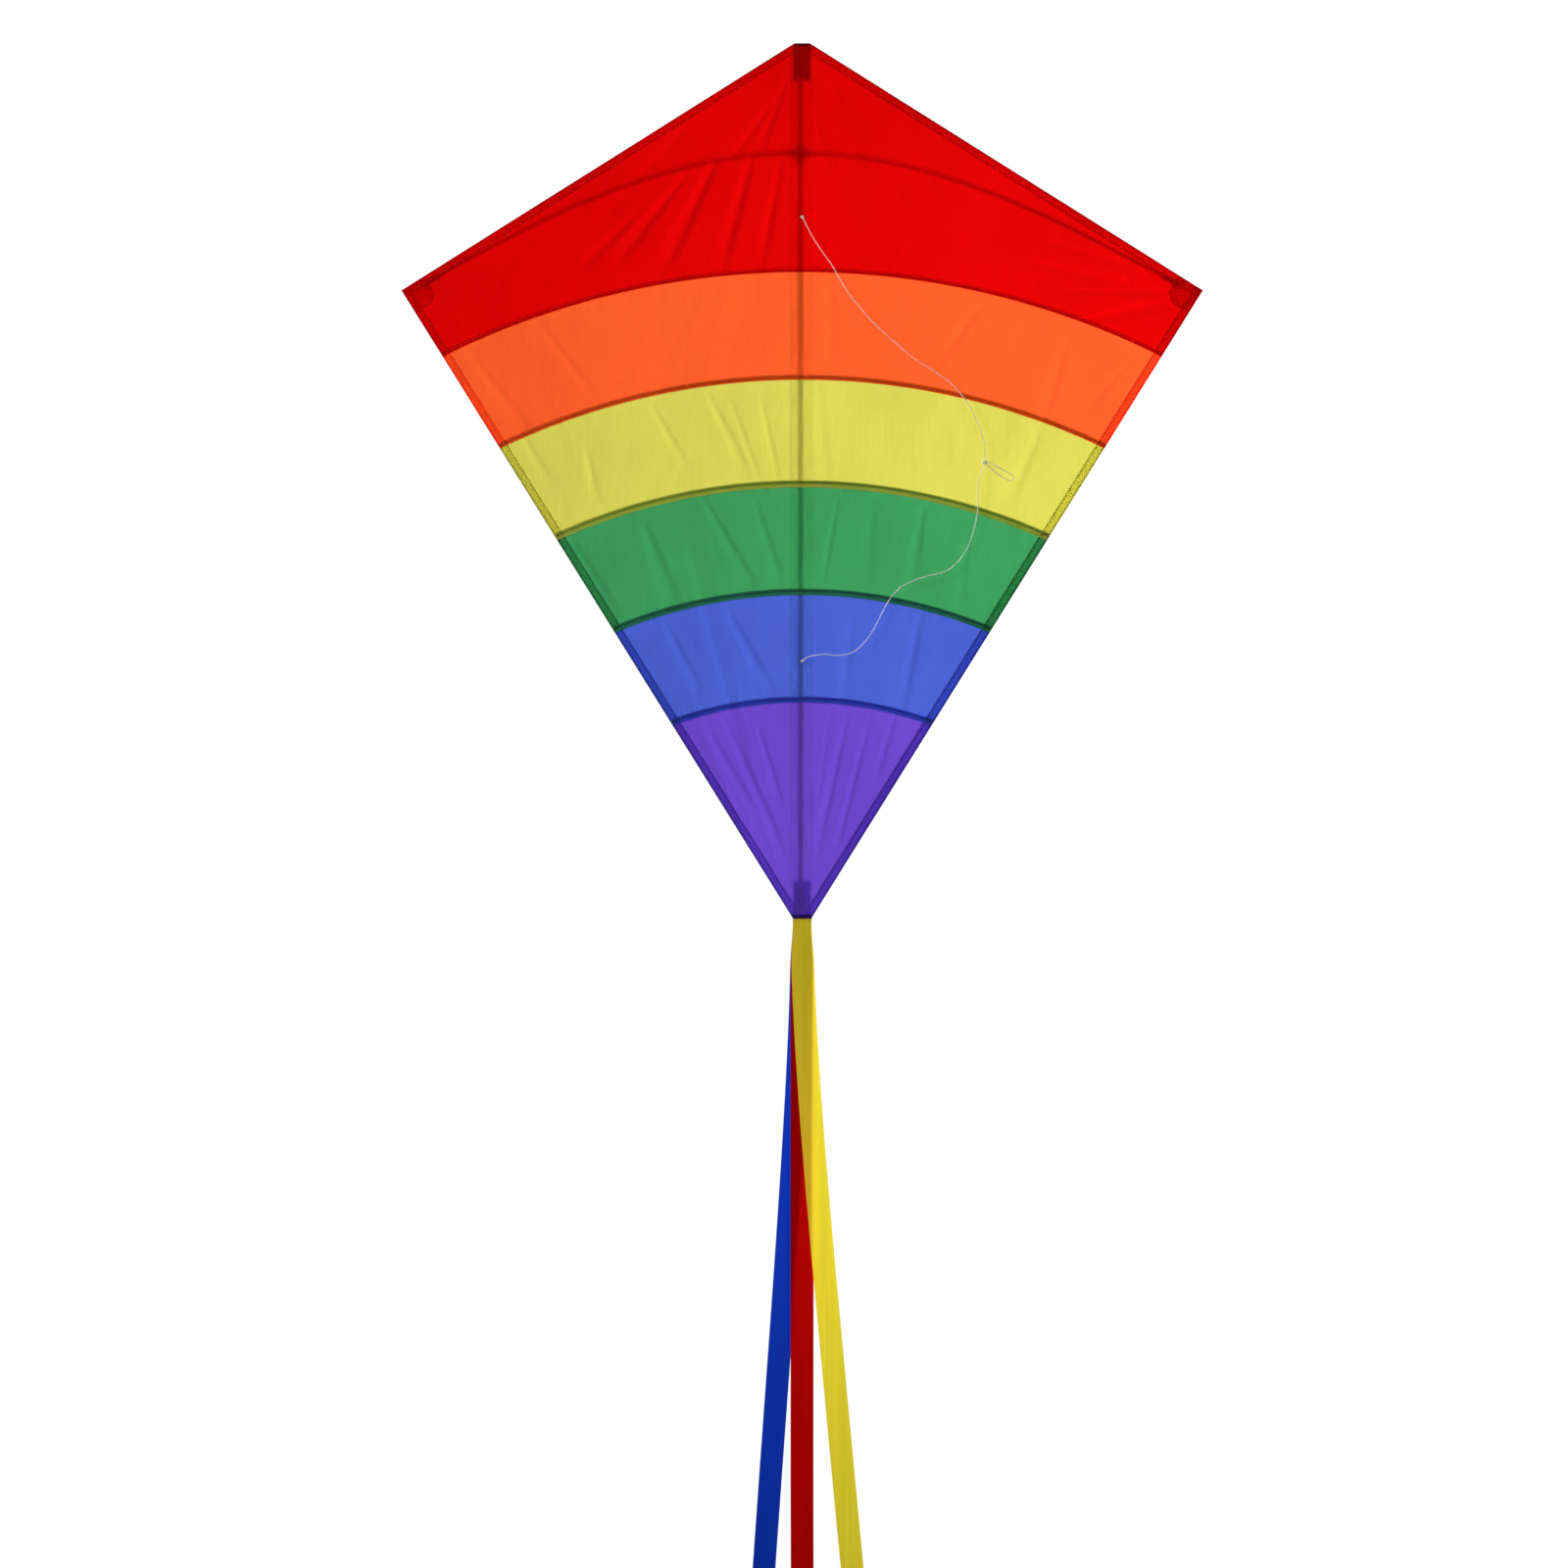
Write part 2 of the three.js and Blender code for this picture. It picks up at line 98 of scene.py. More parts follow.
def at_height(x, y, height):
    """A point given in millimetres, with its height above the foot."""
    return Vector((x * MM, y * MM, FOOT_Z + height * MM))


# ---------------------------------------------------------------- camera

CAMERA_LENS = 200
CAMERA_SENSOR = 36
VIEW_WIDTH = 1366 * MM
VIEW_CENTRE = at_height(-15.8, 0, 117)


def make_camera():
    data = bpy.data.cameras.new("camera")
    data.lens, data.sensor_width = CAMERA_LENS, CAMERA_SENSOR
    camera = bpy.data.objects.new("camera", data)
    away = VIEW_WIDTH * CAMERA_LENS / CAMERA_SENSOR
    camera.location = (VIEW_CENTRE.x, SAIL_Y - away, VIEW_CENTRE.z)
    camera.rotation_euler = (math.pi / 2, 0, 0)
    bpy.context.scene.collection.objects.link(camera)
    bpy.context.scene.camera = camera


make_camera()


# ---------------------------------------------------------------- mesh helpers


def grid(points, wrap=False):
    """The vertices and quads of a grid of points, shape (rows, columns, 3). wrap closes each row."""
    rows, columns = points.shape[:2]
    index = np.arange(rows * columns).reshape(rows, columns)
    if wrap:
        index = np.concatenate([index, index[:, :1]], axis=1)
    quads = np.stack([index[:-1, :-1], index[:-1, 1:], index[1:, 1:], index[1:, :-1]], axis=-1)
    return points.reshape(-1, 3), quads.reshape(-1, 4).tolist()


def merged(parts):
    """Several (vertices, faces) parts as one."""
    vertices, faces, first = [], [], 0
    for points, polygons in parts:
        vertices.append(np.asarray(points))
        faces += [[i + first for i in face] for face in polygons]
        first += len(points)
    return np.concatenate(vertices), faces


def piece(name, parts, look, slot=None, replaces=(), body=None):
    """A smooth object from (vertices, faces) parts, with the CAD nodes that it stands for and, unless it bends
    or is on the stage, the body that it rides on. Its slot is not used. Its UV map holds each point's resting x
    and z.
    """
    vertices, faces = merged(parts)
    mesh = bpy.data.meshes.new(name)
    mesh.from_pydata(vertices.tolist(), [], faces)
    mesh.shade_smooth()
    corners = np.zeros(len(mesh.loops), np.int32)
    mesh.loops.foreach_get("vertex_index", corners)
    layer = mesh.uv_layers.new(name="rest")
    layer.data.foreach_set("uv", vertices[corners][:, [0, 2]].astype(np.float32).ravel())
    mesh.materials.append(look)
    made = bpy.data.objects.new(name, mesh)
    bpy.context.scene.collection.objects.link(made)
    if replaces:
        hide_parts(*replaces)
    if body:
        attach(made, body)
    return made


def distances(line):
    """How far along a line each of its points is."""
    return np.concatenate([[0], np.cumsum(np.linalg.norm(np.diff(line, axis=0), axis=1))])


def points_along(line, count):
    """Evenly spaced points along a line."""
    along = distances(line)
    at = np.linspace(0, along[-1], count)
    return np.stack([np.interp(at, along, values) for values in line.T], axis=1)


def unit(vector):
    return vector / np.linalg.norm(vector)


def smooth_line(points, step):
    """A Catmull-Rom curve through the points, as points about step apart."""
    p = np.array([list(q) for q in points], float)
    p = np.concatenate([[2 * p[0] - p[1]], p, [2 * p[-1] - p[-2]]])
    t = np.linspace(0, 1, 24, endpoint=False)[:, None]
    line = [
        0.5 * (2 * b + (c - a) * t + (2 * a - 5 * b + 4 * c - d) * t**2 + (3 * b - a - 3 * c + d) * t**3)
        for a, b, c, d in zip(p, p[1:], p[2:], p[3:])
    ]
    line = np.concatenate([*line, p[-2:-1]])
    return points_along(line, max(3, round(distances(line)[-1] / step) + 1))


# A direction that no line here runs along.
ASKEW = (0.31, 0.83, 0.46)
# How far a cord's strands stand out, as a share of its radius.
STRAND_BULGE = 0.16


def frames_along(line):
    """Two unit vectors across a line at each of its points, carried along without twisting."""
    tangent = np.gradient(line, axis=0)
    tangent /= np.linalg.norm(tangent, axis=1)[:, None]
    across = np.cross(tangent[0], ASKEW)
    first = []
    for direction in tangent:
        across = unit(across - direction * (across @ direction))
        first.append(across)
    first = np.array(first)
    return first, np.cross(tangent, first)


def closed_rings(points):
    """A pipe through rings of points, shape (rings, sides, 3), with a face over each end."""
    vertices, faces = grid(points, wrap=True)
    sides = points.shape[1]
    return vertices, faces + [list(range(sides))[::-1], list(range(len(vertices) - sides, len(vertices)))]


def tube(line, radius, sides=10, strands=0, pitch=4 * MM):
    """A round tube along a line. With strands, its surface is laid like a cord of that many strands."""
    first, second = frames_along(line)
    angle = np.linspace(0, 2 * np.pi, sides, endpoint=False)[None, :]
    size = np.broadcast_to(np.reshape(radius, (-1, 1)), (len(line), sides))
    if strands:
        lay = 2 * np.pi * distances(line)[:, None] / pitch
        size = size * (1 - STRAND_BULGE + STRAND_BULGE * np.abs(np.cos(strands * angle / 2 + lay)) * 1.25)
    offset = (
        first[:, None] * (size * np.cos(angle))[..., None]
        + second[:, None] * (size * np.sin(angle))[..., None]
    )
    return closed_rings(line[:, None] + offset)


def lathe(profile, start, end, sides=32):
    """A turned shape: profile lists (distance along, radius) pairs from start towards end."""
    start = np.array(start, float)
    way = unit(np.array(end, float) - start)
    side = unit(np.cross(way, ASKEW))
    angle = np.linspace(0, 2 * np.pi, sides, endpoint=False)
    ring = np.cos(angle)[:, None] * side + np.sin(angle)[:, None] * np.cross(way, side)
    return closed_rings(np.array([start + way * along + radius * ring for along, radius in profile]))


# ---------------------------------------------------------------- materials


def linear(hex_colour):
    """A colour written as RRGGBB, in linear light."""
    channels = [int(hex_colour[i : i + 2], 16) / 255 for i in (0, 2, 4)]
    return tuple(c / 12.92 if c < 0.04045 else ((c + 0.055) / 1.055) ** 2.4 for c in channels) + (1,)


def scaled(colour, factor):
    return tuple(min(1, c * factor) for c in colour[:3]) + (1,)


def lightened(colour, share):
    return tuple(c + (1 - c) * share for c in colour[:3]) + (1,)


WHITE = (1, 1, 1, 1)


class Look:
    """The nodes of a material or a world, built one by one."""

    def __init__(self, name, owners=bpy.data.materials, output="ShaderNodeOutputMaterial"):
        self.owner = owners.new(name)
        self.owner.use_nodes = True
        self.tree = self.owner.node_tree
        self.tree.nodes.clear()
        self.output = self.tree.nodes.new(output)

    def node(self, kind, settings=(), **inputs):
        """A node with its settings and inputs. An input that is a socket is linked."""
        made = self.tree.nodes.new("ShaderNode" + kind)
        for name, value in dict(settings).items():
            setattr(made, name, value)
        for name, value in inputs.items():
            self.give(made.inputs[name.replace("_", " ")], value)
        return made

    def give(self, socket, value):
        """Links a socket to another one, or sets its value."""
        if isinstance(value, bpy.types.NodeSocket):
            self.tree.links.new(value, socket)
        else:
            socket.default_value = value

    def rest_place(self, scale):
        """The resting x and z of each point, times scale."""
        place = self.node("UVMap", {"uv_map": "rest"}).outputs["UV"]
        return self.node("Mapping", Vector=place, Scale=scale).outputs["Vector"]

    def body_place(self, scale):
        place = self.node("TexCoord").outputs["Object"]
        return self.node("Mapping", Vector=place, Scale=scale).outputs["Vector"]

    def noise(self, vector, scale, detail=2.0, roughness=0.5):
        made = self.node("TexNoise", Vector=vector, Scale=scale, Detail=detail, Roughness=roughness)
        return made.outputs["Fac"]

    def bands(self, vector, direction, period, distortion=0.0):
        """Sine bands of the given period in metres. direction is X, Y or Z."""
        settings = {"wave_type": "BANDS", "bands_direction": direction}
        scale = math.pi / 10 / period
        made = self.node("TexWave", settings, Vector=vector, Scale=scale, Distortion=distortion)
        return made.outputs["Fac"]

    def calculate(self, operation, first, second):
        made = self.node("Math", {"operation": operation})
        for socket, value in zip(made.inputs, (first, second)):
            self.give(socket, value)
        return made.outputs["Value"]

    def ramp(self, factor, low, high):
        """0 below low, 1 above high."""
        settings = {"interpolation_type": "SMOOTHSTEP"}
        made = self.node("MapRange", settings, Value=factor, From_Min=low, From_Max=high)
        return made.outputs["Result"]

    def mixed(self, factor, low, high):
        made = self.node("Mix", {"data_type": "RGBA", "blend_type": "MIX"})
        for index, value in ((0, factor), (6, low), (7, high)):
            self.give(made.inputs[index], value)
        return made.outputs[2]

    def bump(self, height, distance, strength=1.0, below=None):
        made = self.node("Bump", Height=height, Distance=distance, Strength=strength)
        if below is not None:
            self.tree.links.new(below, made.inputs["Normal"])
        return made.outputs["Normal"]

    def surface(self, tone, roughness, normal, gloss=0.5, tint=WHITE):
        made = self.node("BsdfPrincipled", Base_Color=tone, Roughness=roughness, Normal=normal)
        made.inputs["Specular IOR Level"].default_value = gloss
        made.inputs["Specular Tint"].default_value = tint
        return made

    def shared(self, share, first, second):
        """Two shaders as one. share is the second one's part."""
        made = self.node("MixShader", Fac=share)
        for socket, shader in ((made.inputs[1], first), (made.inputs[2], second)):
            self.tree.links.new(shader.outputs[0], socket)
        return made

    def lit_through(self, share, tone, roughness, normal, gloss=0.5, tint=WHITE):
        """A surface that lets a share of the light through."""
        through = self.node("BsdfTranslucent", Color=tone, Normal=normal)
        return self.shared(share, self.surface(tone, roughness, normal, gloss, tint), through)

    def finish(self, shader):
        self.tree.links.new(shader.outputs[0], self.output.inputs["Surface"])
        return self.owner


WEAVE_PERIOD = 0.9 * MM
CLOTH_GLOW = 0.5


def woven_cloth(name, colour, roughness=0.36, gloss=0.35, glow=CLOTH_GLOW, crumple=0.9):
    """Thin glossy polyester cloth that light shines through, with its weave, slubs and fine creases."""
    look = Look(name)
    place = look.rest_place((1, 1, 1))
    warp = look.bands(place, "X", WEAVE_PERIOD)
    weft = look.bands(place, "Y", WEAVE_PERIOD)
    weave = look.calculate("MULTIPLY", warp, weft)
    slubs = look.noise(look.rest_place((420, 22, 1)), 1.0, 3.0)
    clouds = look.noise(place, 9.0, 4.0, 0.6)
    slubs, clouds = look.calculate("MULTIPLY", slubs, 0.3), look.calculate("MULTIPLY", clouds, 0.7)
    tone = look.calculate("ADD", slubs, clouds)
    shade = look.mixed(look.ramp(tone, 0.34, 0.66), scaled(colour, 0.95), scaled(colour, 1.04))
    threads = look.mixed(look.calculate("MULTIPLY", weave, 0.4), shade, scaled(colour, 1.1))
    creases = look.noise(look.rest_place((1, 0.5, 1)), 38.0, 4.0, 0.6)
    normal = look.bump(creases, crumple * MM)
    normal = look.bump(weave, 0.02 * MM, 0.5, normal)
    return look.finish(look.lit_through(glow, threads, roughness, normal, gloss, scaled(colour, 1.2)))


def solid_look(name, colour, roughness, gloss, grain_scale, grain):
    """A moulded or woven solid: fine grain in its colour and surface."""
    look = Look(name)
    place = look.body_place((1, 1, 1))
    fine = look.noise(place, grain_scale, 4.0, 0.6)
    broad = look.noise(place, grain_scale / 12, 2.0)
    tone = look.mixed(look.ramp(broad, 0.3, 0.7), scaled(colour, 0.85), scaled(colour, 1.2))
    return look.finish(look.surface(tone, roughness, look.bump(fine, grain), gloss))


def ribbon_look(name, colour, glow):
    """Satin ribbon: fine ribs along its length, a soft sheen and faint cross threads."""
    look = Look(name)
    place = look.rest_place((1, 1, 1))
    ribs = look.bands(place, "X", 0.6 * MM, 0.6)
    cross = look.bands(place, "Y", 0.7 * MM)
    streaks = look.noise(look.rest_place((260, 7, 1)), 1.0, 3.0)
    shade = look.mixed(look.ramp(streaks, 0.3, 0.7), scaled(colour, 0.93), scaled(colour, 1.05))
    tone = look.mixed(look.calculate("MULTIPLY", ribs, 0.25), shade, scaled(colour, 1.1))
    normal = look.bump(ribs, 0.03 * MM, 0.5)
    normal = look.bump(cross, 0.02 * MM, 0.4, normal)
    return look.finish(look.lit_through(glow, tone, 0.34, normal, 0.35, scaled(colour, 1.3)))


def rod_look():
    """Pultruded glass-fibre rod: pale resin with fine fibres along its length."""
    look = Look("rod")
    fibres = look.noise(look.body_place((900, 900, 30)), 1.0, 3.0)
    tone = look.mixed(look.ramp(fibres, 0.35, 0.7), linear("D6D3C8"), linear("F4F2EA"))
    normal = look.bump(fibres, 0.03 * MM)
    resin = look.lit_through(0.88, tone, 0.38, normal)
    return look.finish(look.shared(0.25, resin, look.node("BsdfTransparent", Color=tone)))


def cord_look():
    """Twisted nylon cord: pale fine fibres that take up the light from the cloth behind them."""
    look = Look("cord")
    fibres = look.noise(look.body_place((1, 1, 1)), 2600.0, 3.0)
    tone = look.mixed(fibres, linear("F1F0EA"), linear("FFFFFF"))
    normal = look.bump(fibres, 0.08 * MM)
    return look.finish(look.lit_through(0.7, tone, 0.65, normal))


def clear_vinyl_look():
    """Milky soft vinyl."""
    look = Look("clear_vinyl")
    haze = look.noise(look.body_place((1, 1, 1)), 260.0, 3.0)
    tone = look.mixed(haze, linear("d9d5c6"), linear("f4f2ea"))
    surface = look.surface(tone, 0.3, look.bump(haze, 0.1 * MM))
    return look.finish(look.shared(0.6, surface, look.node("BsdfTranslucent", Color=tone)))


# Each panel's cloth and the thread of the seam below it.
CLOTH_COLOURS = {
    "red": ("DF0403", "8A0303"),
    "orange": ("FF5E2A", "8F2406"),
    "yellow": ("D4CF55", "454A05"),
    "green": ("3B9658", "0C3A20"),
    "blue": ("475DC7", "1A1F7A"),
    "purple": ("6844C2", "2D1A6B"),
}
RIBBON_COLOURS = {"yellow": "FAE436", "red": "B80404", "blue": "1136B4"}


def thread_look(name, colour):
    return solid_look(name, colour, 0.6, 0.2, 2500.0, 0.05 * MM)


CLOTH, FOLDED_PAINTED_LIGHT, SEAM_THREAD, THREAD = {}, {}, {}, {}
for colour, (cloth, seam) in CLOTH_COLOURS.items():
    # Painted light: each cloth gets a copy that is lightened towards white and lets more light through, for its
    # doubled layers, to offset their shade.
    painted_lighter = lightened(linear(cloth), 0.2)
    CLOTH[colour] = woven_cloth(f"cloth_{colour}", linear(cloth))
    FOLDED_PAINTED_LIGHT[colour] = woven_cloth(f"cloth_{colour}_folded_painted_light", painted_lighter, 0.4, 0.25, 0.92, 0.3)
    SEAM_THREAD[colour] = thread_look(f"seam_thread_{colour}", linear(seam))
    THREAD[colour] = thread_look(f"thread_{colour}", scaled(linear(cloth), 0.62))
RIBBON = {
    colour: ribbon_look(f"ribbon_{colour}", linear(value), 0.4) for colour, value in RIBBON_COLOURS.items()
}
TAPE_LOOK = woven_cloth("tape", linear("F8F7F4"), 0.6, 0.15, 0.94, 0.1)
PATCH_RED = woven_cloth("patch_red", linear("B00505"), 0.5, 0.2, 0.3)
# The corner pockets' red is lighter and pinker than the sail's red cloth: painted light that offsets the shade
# of the doubled cloth at the wing tips.
CORNER_RED_PAINTED_LIGHT = woven_cloth("corner_red_painted_light", linear("E2504A"), 0.5, 0.2, 0.75, 0.3)
PATCH_PURPLE = woven_cloth("patch_purple", linear("8A70D8"), 0.5, 0.2, 0.8, 0.3)
BINDING_PURPLE = woven_cloth("binding_purple", linear("2E1566"), 0.6, 0.15, 0.1)
BINDING_RED = woven_cloth("binding_red", linear("5E0404"), 0.6, 0.15, 0.1)
CORD_LOOK = cord_look()
ROD_LOOK = rod_look()
VINYL_LOOK = solid_look("vinyl", linear("232327"), 0.5, 0.35, 700.0, 0.06 * MM)
CLEAR_VINYL = clear_vinyl_look()


# ---------------------------------------------------------------- bridle cords

# The route of each cord as (x, height) in millimetres, and its depth there. The legs rise out of the sail.
UPPER_LEG = [
    (0, 611), (1, 609.5), (4, 603), (10, 592), (18, 580), (27, 567), (38, 548), (58, 523), (76, 506),
    (97, 488), (117, 475), (130, 465.5), (141, 453), (151, 436), (157.5, 419), (159.4, 407), (159.2, 399.8),
]
LOWER_LEG = [
    (0, 224), (1.5, 225.2), (6, 228), (19, 230), (32, 229), (42, 231), (50, 236), (58, 245), (64, 255),
    (70, 267), (77, 279), (86, 288.5), (97, 294), (109, 298), (124, 302), (134, 309), (142, 319),
    (147, 330), (151, 345), (153, 358), (153, 369), (154, 382), (156, 389), (157.8, 394.5),
]
TOW_LOOP = [
    (161.9, 397.4), (167, 395), (175, 390.6), (182, 386.8), (184.6, 383.6), (182, 381.4), (177, 382.8),
    (169, 387.6), (161.1, 394.9),
]
CORD_Y = -14
LEG_START_Y = (-12.2, -13.1, -13.8)
CORD_STEP = 0.45 * MM
CORD_STRANDS = 3


def cord_line(route, start_y):
    depths = [*start_y, *[CORD_Y] * (len(route) - len(start_y))]
    return smooth_line([at_height(x, y, height) for (x, height), y in zip(route, depths)], CORD_STEP)


def trefoil(centre, size, depth, count):
    """The centreline of an overhand knot. depth is how far its crossings stand apart, as a share of size."""
    t = np.linspace(0, 2 * np.pi, count)
    turns = [np.sin(t) + 2 * np.sin(2 * t), -depth * np.sin(3 * t), np.cos(t) - 2 * np.cos(2 * t)]
    return centre + size * np.stack(turns, axis=1)


def tight_cord(line, radius):
    return tube(line, radius, 10, CORD_STRANDS, 3 * MM)


def knot_piece():
    """An overhand knot, pulled nearly tight, with the legs' turns round it."""
    centre = np.array(middle("tow_knot"))
    crossing = trefoil(centre, 0.62 * MM, 1.1, 90)
    turn = np.linspace(0, 4 * np.pi, 60)
    slant = np.stack([1.71 * np.cos(turn), 1.53 * np.sin(turn), 0.175 * turn - 1.085], axis=1)
    parts = [tight_cord(crossing, 0.62 * MM), tight_cord(centre + slant * MM, 0.55 * MM)]
    return piece("knot", parts, CORD_LOOK, "cord", ["tow_knot"], "bridle")


def tie_piece(name, node):
    """The turn of cord round the spine, knotted in front of the sail where a leg starts."""
    centre = np.array(middle(node))
    low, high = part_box(node)
    radius = (high.x - low.x) / 2 - CORD_DIAMETER / 2
    turn = np.linspace(0, 4 * np.pi, 140)
    rise = 0.75 * MM * (turn / (2 * np.pi) - 1)
    ring = centre + np.stack([radius * np.sin(turn), -radius * np.cos(turn), rise], axis=1)
    hitch = trefoil(centre - np.array([0, radius + 0.9 * MM, 0]), 0.42 * MM, 1.0, 70)
    parts = [tight_cord(ring, CORD_DIAMETER * 0.42), tight_cord(hitch, CORD_DIAMETER * 0.36)]
    piece(name, parts, CORD_LOOK, "cord", [node], "airframe")


def make_bridle():
    tie_piece("tie_upper", "bridle_tie_upper")
    tie_piece("tie_lower", "bridle_tie_lower")
    knot = knot_piece()
    for name, node, route, start_y in (
        ("leg_upper", "bridle_upper_leg", UPPER_LEG, LEG_START_Y),
        ("leg_lower", "bridle_lower_leg", LOWER_LEG, LEG_START_Y),
        ("loop", "tow_loop", TOW_LOOP, ()),
    ):
        line = cord_line(route, start_y)
        parts = [tube(line, CORD_DIAMETER / 2, 12, CORD_STRANDS)]
        made = piece(name, parts, CORD_LOOK, "cord", [node])
        if name == "loop":
            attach(made, "bridle")
        else:
            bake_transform(made)


make_bridle()


# ---------------------------------------------------------------- the sail's surface

# Folds in the cloth: x and height where each starts and where it ends, its half width and how far it stands
# forward, all in millimetres. They fan out from the foot, the nose and the wing tips.
FOLDS = [
    # from the nose, left of the spine
    (-8, 747, -37, 665, 5, 0.5), (-19, 720, -65, 655, 5, 0.4), (-42, 668, -72, 562, 8, 1.0),
    (-17, 664, -37, 562, 6, 0.8), (-74, 662, -120, 565, 9, 1.0), (-101, 648, -161, 571, 8, 0.7),
    (-140, 616, -193, 566, 7, 0.4),
    # from the nose, right of the spine
    (7, 718, 24, 650, 2.5, 0.5), (22, 735, 41, 698, 2.5, 0.4),
    # from the wing tips
    (205, 593, 341, 550, 7, 0.7), (226, 547, 341, 545, 5, 0.5), (190, 574, 338, 539, 9, 0.8),
    (235, 519, 326, 538, 8, 0.7), (172, 647, 181, 634, 2, 0.3), (-334, 541, -312, 527, 2.5, 0.4),
    (-330, 540, -262, 505, 7, 0.4),
    # orange
    (-230, 519, -178, 453, 6, 0.5), (-290, 492, -238, 426, 7, 0.6), (25, 560, 26, 470, 10, 0.5),
    (161, 540, 116, 480, 7, 0.5), (234, 511, 204, 416, 9, 0.7), (284, 483, 246, 443, 8, 0.5),
    # yellow
    (-134, 452, -100, 393, 5, 0.6), (-84, 461, -45, 384, 6, 0.8), (-64, 456, -36, 380, 4, 0.5),
    (-37, 460, -20, 380, 4, 0.5), (-248, 428, -219, 380, 5, 0.6), (-188, 410, -178, 362, 6, 0.6),
    (14, 464, 22, 380, 7, 0.4), (208, 426, 180, 360, 8, 0.5),
    # green
    (-203, 333, -160, 260, 8, 1.1), (-139, 346, -109, 270, 9, 1.2), (-88, 369, -41, 288, 6, 1.2),
    (-42, 366, -18, 292, 6, 0.8), (32, 369, 17, 289, 4, 0.6), (106, 360, 95, 288, 7, 0.9),
    (146, 337, 137, 275, 7, 0.5), (62, 366, 56, 290, 8, 0.4),
    # blue
    (-121, 260, -87, 196, 6, 0.8), (-65, 268, -23, 192, 7, 1.0), (105, 273, 86, 178, 6, 0.8),
    (45, 266, 36, 190, 7, 0.4),
    # purple
    (-66, 172, -13, 50, 6, 0.9), (-42, 178, -16, 95, 4, 0.7), (-84, 168, -38, 88, 5, 0.7),
    (41, 182, 9, 42, 6, 0.8), (60, 177, 30, 60, 4, 0.7), (82, 182, 65, 122, 4, 0.6),
    (24, 178, 14, 100, 3, 0.4),
]
FOLD_GAIN = 2.0


def fold(x, height, start_x, start_height, end_x, end_height, half_width, rise):
    """A creased ridge along a line: two flat flanks that widen from its start and fade at both ends."""
    run_x, run_height = end_x - start_x, end_height - start_height
    long = math.hypot(run_x, run_height)
    share = ((x - start_x) * run_x + (height - start_height) * run_height) / long**2
    away = ((x - start_x) * run_height - (height - start_height) * run_x) / long
    inside = np.clip(share, 0, 1)
    width = half_width * (0.5 + 0.7 * inside) * np.where(away < 0, 0.75, 1.15)
    return FOLD_GAIN * rise * np.sin(np.pi * inside) ** 0.6 * np.clip(1 - np.abs(away) / width, 0, None)


def lattice(x, y, seed, across):
    """Noise between about -1 and 1 on a unit lattice. across shapes the share between two columns."""
    table = np.random.default_rng(seed).uniform(-1, 1, (67, 67))
    column, row = np.floor(x).astype(int), np.floor(y).astype(int)
    fx, fy = across(x - column), smooth_share(y - row)
    low = table[row % 67, column % 67] * (1 - fx) + table[row % 67, (column + 1) % 67] * fx
    high = table[(row + 1) % 67, column % 67] * (1 - fx) + table[(row + 1) % 67, (column + 1) % 67] * fx
    return low * (1 - fy) + high * fy


def smooth_share(share):
    share = np.clip(share, 0, 1)
    return share * share * (3 - 2 * share)


def soft_noise(x, y, seed):
    """Smooth noise, with features one unit across."""
    return lattice(x, y, seed, smooth_share)


def pleats(x, y, seed):
    """Noise with flat flanks and creases along y, at uneven distances about one unit apart."""
    return lattice(x + 0.3 * np.sin(2.1 * x) + 0.12 * np.sin(5.3 * x + seed), y, seed, lambda share: share)


# How far the cloth may stand forward of its flat plane and behind it, in millimetres.
FORWARD_MOST, BACK_MOST = 1.9, 1.0
# How far the sewn seams pucker the cloth, and how far from them.
SEAM_PUCKER, SEAM_PUCKER_REACH = 0.22, 8
# Pleats that fan out: (centre x, centre height), the way they open, rays in each radian, slope, reach, and
# their share left and right of the spine.
FANS = [
    ((0, -55), (0, 1), 24, 0.0036, 430, (1.0, 0.75)),
    ((0, 795), (0, -1), 15, 0.0026, 300, (1.0, 0.5)),
    ((362, 548), (-1, 0), 17, 0.0030, 190, (0.0, 1.0)),
    ((-362, 548), (1, 0), 17, 0.0026, 150, (1.0, 0.0)),
]


def relief(x, z):
    """How far the cloth stands off its flat plane along Y, in metres. Negative is towards the bridle side."""
    x, height = np.asarray(x) / MM, (np.asarray(z) - FOOT_Z) / MM
    forward = sum(fold(x, height, *shape) for shape in FOLDS)
    for seed, ((cx, cy), (ox, oy), rays, slope, reach, shares) in enumerate(FANS):
        dx, dy = x - cx, height - cy
        away = np.hypot(dx, dy)
        angle = np.arctan2(dx * oy - dy * ox, dx * ox + dy * oy)
        patchy = np.clip(0.55 + 0.8 * soft_noise(x / 70 + 20, height / 110 + 5, 50 + seed), 0, 1)
        side = np.where(x < 0, *shares)
        rise = slope * away * np.exp(-((away / reach) ** 2)) * patchy * side
        forward = forward + rise * pleats(angle * rays + 30, away / 170, seed)
    forward = forward + 0.4 * soft_noise(x / 42 + 20, height / 66, 11)
    forward = forward + 0.12 * soft_noise(x / 12 + 40, height / 19, 12)
    above_centre = height - (ARC_CENTRE_Z - FOOT_Z) / MM
    radius, angle = np.hypot(x, above_centre), np.arctan2(x, above_centre)
    for index, seam in enumerate(np.array(SEAM_RADII) / MM):
        near = np.exp(-(((radius - seam) / SEAM_PUCKER_REACH) ** 2))
        forward = forward + SEAM_PUCKER * near * soft_noise(angle * seam / 7 + 60, radius / 30, 20 + index)
    most = np.where(forward > 0, FORWARD_MOST, BACK_MOST)
    forward = most * np.tanh(forward / most)
    # The tape holds the cloth nearly flat at the spine, and the spreader pulls it tight at the wing tips.
    held = 0.15 + 0.85 * np.clip((np.abs(x) - 7) / 16, 0, 1)
    tight = np.clip((TIP.x / MM + 4 - np.abs(x)) / 40, 0.25, 1)
    return -forward * held * tight * MM


